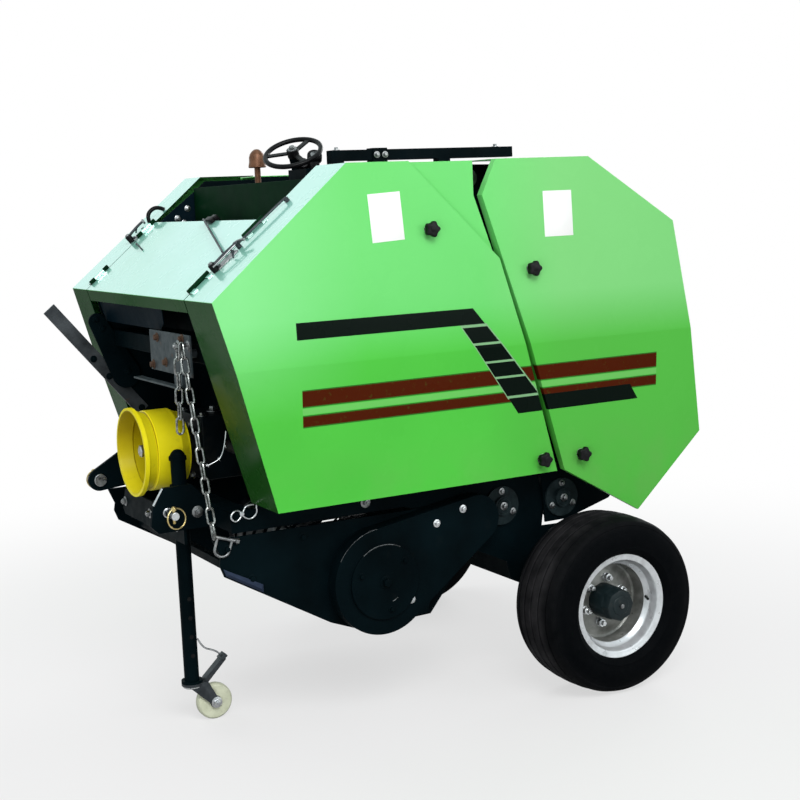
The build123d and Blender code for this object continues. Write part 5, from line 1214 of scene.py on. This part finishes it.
class BALER_OT_fasteners(bpy.types.Operator):
    """Puts in the bolts of the plates, the walls and the axle"""
    bl_idname = "baler.fasteners"
    bl_label = "Fasteners"

    def execute(self, context):
        bm = bmesh.new()
        for x, z in ((0.103, 1.1), (0.3, 1.107), (0.163, 1.035), (0.062, 1.022)):
            bolt(bm, (x, PLATE_FACE, z), FORWARD, 0.014)
        for z in (0.7, 0.94, 1.12):
            bolts(bm, [(x, BULKHEAD_SEAT, z) for x in (-0.385, 0.385)], FORWARD, 0.014, 1)
        for x, across, places in ((-0.4012, 0.012, ((-0.672, 1.096), (-0.69, 1.126), (-0.6, 0.958))),
                                  (-0.4095, 0.011, ((-0.703, 1.004), (-0.657, 0.946), (-0.56, 0.838)))):
            bolts(bm, [(x, *place) for place in places], ACROSS, across, 1)
        for sign in (1, -1):
            wall, out = sign * (WALL_OUTER + SEATING), (sign, 0, 0)
            for y, z in ((0.445, 0.33), (0.505, 0.33), (0.15, 0.47), (-0.215, 0.622), (-0.5, 0.66)):
                bolt(bm, (wall, y, z), out, 0.016, 2, True, 0.004)
            bolt(bm, (wall, *TAILGATE_PIVOT), out, 0.024, 2)
        finished(bm, "frame_bolts", "frame", ("rusty_steel", "chassis_paint", "dull_zinc"))
        return {"FINISHED"}


class BALER_OT_stage(bpy.types.Operator):
    """Sets the floor, the soft studio lights, the backdrop and the camera"""
    bl_idname = "baler.stage"
    bl_label = "Stage"

    def shader_mix(self, tree, share, first, second):
        node = tree.nodes.new("ShaderNodeMixShader")
        for socket, source in zip(node.inputs, (share, first.outputs[0], second.outputs[0])):
            tree.links.new(source, socket)
        return node

    def floor(self):
        bm = bmesh.new()
        bmesh.ops.create_grid(bm, x_segments=4, y_segments=4, size=14.0)
        mesh = bpy.data.meshes.new("studio_floor")
        bm.to_mesh(mesh)
        bm.free()
        plane = placed("studio_floor", mesh)
        mat = Finish("studio_floor", Roughness=0.9, Specular_IOR_Level=0.0)
        path = mat.add("ShaderNodeLightPath").outputs
        mat.colour(mat.mix(path["Is Diffuse Ray"], (0.62, 0.62, 0.62), (0.26, 0.26, 0.27)))
        glow = mat.add("ShaderNodeEmission")
        glow.inputs["Color"].default_value = (1, 1, 1, 1)
        away = mat.add("ShaderNodeVectorMath", operation="LENGTH")
        mat.feed(away.inputs[0], mat.where)
        fade = mat.spread(away.outputs["Value"], 1.3, 3.4, 0.62, 1.0, interpolation_type="SMOOTHSTEP")
        seen = mat.either(mat.both(path["Is Camera Ray"], fade), path["Is Transmission Ray"])
        mixed = self.shader_mix(mat.tree, seen, mat.shader, glow)
        mat.tree.links.new(mixed.outputs[0], mat.tree.nodes["Material Output"].inputs["Surface"])
        mesh.materials.append(mat.material)

    def sky(self):
        """Soft light for the shapes, a tinted sky in reflections, and white behind."""
        world = bpy.context.scene.world or bpy.data.worlds.new("studio")
        bpy.context.scene.world = world
        world.use_nodes = True
        tree = world.node_tree
        tree.nodes.clear()
        lights = []
        for colour, strength in (((0.93, 0.97, 1, 1), 0.36), ((0.88, 1, 1, 1), 1.0), ((1, 1, 1, 1), 1.0)):
            light = tree.nodes.new("ShaderNodeBackground")
            light.inputs["Color"].default_value = colour
            light.inputs["Strength"].default_value = strength
            lights.append(light)
        path = tree.nodes.new("ShaderNodeLightPath").outputs
        seen = tree.nodes.new("ShaderNodeMath")
        seen.operation = "MAXIMUM"
        tree.links.new(path["Is Camera Ray"], seen.inputs[0])
        tree.links.new(path["Is Transmission Ray"], seen.inputs[1])
        mixed = self.shader_mix(tree, path["Is Glossy Ray"], lights[0], lights[1])
        mixed = self.shader_mix(tree, seen.outputs[0], mixed, lights[2])
        output = tree.nodes.new("ShaderNodeOutputWorld")
        tree.links.new(mixed.outputs[0], output.inputs["Surface"])

    def softbox(self, name, place, target, width, height, power, mirrored=True):
        light = bpy.data.lights.new(name, "AREA")
        light.shape = "RECTANGLE"
        light.size = width
        light.size_y = height
        light.energy = power
        lamp = placed(name, light)
        lamp.location = place
        lamp.rotation_mode = "QUATERNION"
        lamp.rotation_quaternion = (Vector(target) - Vector(place)).to_track_quat("-Z", "Y")
        lamp.visible_camera = False
        lamp.visible_glossy = mirrored

    def camera(self):
        turn, rise, roll = (radians(a) for a in (61.3265, 7.8361, -2.4747))
        back = Vector((sin(turn) * cos(rise), -cos(turn) * cos(rise), sin(rise)))
        right = (-back).cross(Vector(UP)).normalized()
        up = right.cross(-back).normalized()
        across = right * cos(roll) + up * sin(roll)
        upward = up * cos(roll) - right * sin(roll)
        lens = bpy.data.cameras.new("camera")
        lens.sensor_width = 36.0
        lens.lens = 64.548
        view = placed("camera", lens)
        view.matrix_world = Matrix(((across.x, upward.x, back.x, 3.8964),
                                    (across.y, upward.y, back.y, -1.9904),
                                    (across.z, upward.z, back.z, 1.4404), (0, 0, 0, 1)))
        bpy.context.scene.camera = view

    def execute(self, context):
        bpy.context.scene.view_settings.view_transform = "Standard"
        self.floor()
        self.sky()
        self.softbox("key", (4.6, -1.2, 4.4), (0, 0, 0.9), 3.4, 2.4, 234.0)
        self.softbox("fill", (5.0, 2.6, 2.2), (0, 0.2, 0.9), 2.6, 2.0, 60.0)
        self.softbox("sky_panel", (-3.6, -0.8, 3.7), (0.1, -0.4, 1.35), 4.2, 2.0, 110.0, False)
        self.softbox("front", (3.4, -3.7, 1.0), (0, -0.7, 0.6), 2.4, 1.4, 62.0, False)
        self.softbox("rear", (-2.6, 4.2, 3.0), (0, 0, 0.9), 3.0, 2.0, 120.0)
        self.camera()
        return {"FINISHED"}


STEPS = (BALER_OT_sheet_metal, BALER_OT_frame_metal, BALER_OT_wheels, BALER_OT_knobs, BALER_OT_labels,
         BALER_OT_lift_chain, BALER_OT_latches, BALER_OT_hitch, BALER_OT_drive, BALER_OT_bearings,
         BALER_OT_caster, BALER_OT_pickup, BALER_OT_twine_gear, BALER_OT_fasteners, BALER_OT_stage)


class BALER_PT_steps(bpy.types.Panel):
    """Lists the baler's settings and steps"""
    bl_idname = "BALER_PT_steps"
    bl_label = "Baler"
    bl_space_type = "VIEW_3D"
    bl_region_type = "UI"
    bl_category = "Baler"

    def draw(self, context):
        for group in (context.scene.baler_paint, context.scene.baler_sizes):
            column = self.layout.column(align=True)
            for key in group.__annotations__:
                column.prop(group, key)
        column = self.layout.column(align=True)
        for step in STEPS:
            column.operator(step.bl_idname)


CLASSES = (BalerPaint, BalerSizes, *STEPS, BALER_PT_steps)


def register():
    for item in CLASSES:
        bpy.utils.register_class(item)
    bpy.types.Scene.baler_paint = bpy.props.PointerProperty(type=BalerPaint)
    bpy.types.Scene.baler_sizes = bpy.props.PointerProperty(type=BalerSizes)


def unregister():
    del bpy.types.Scene.baler_sizes
    del bpy.types.Scene.baler_paint
    for item in reversed(CLASSES):
        bpy.utils.unregister_class(item)


def main():
    register()
    for step in STEPS:
        group, name = step.bl_idname.split(".")
        getattr(getattr(bpy.ops, group), name)()


if __name__ == "__main__":
    main()
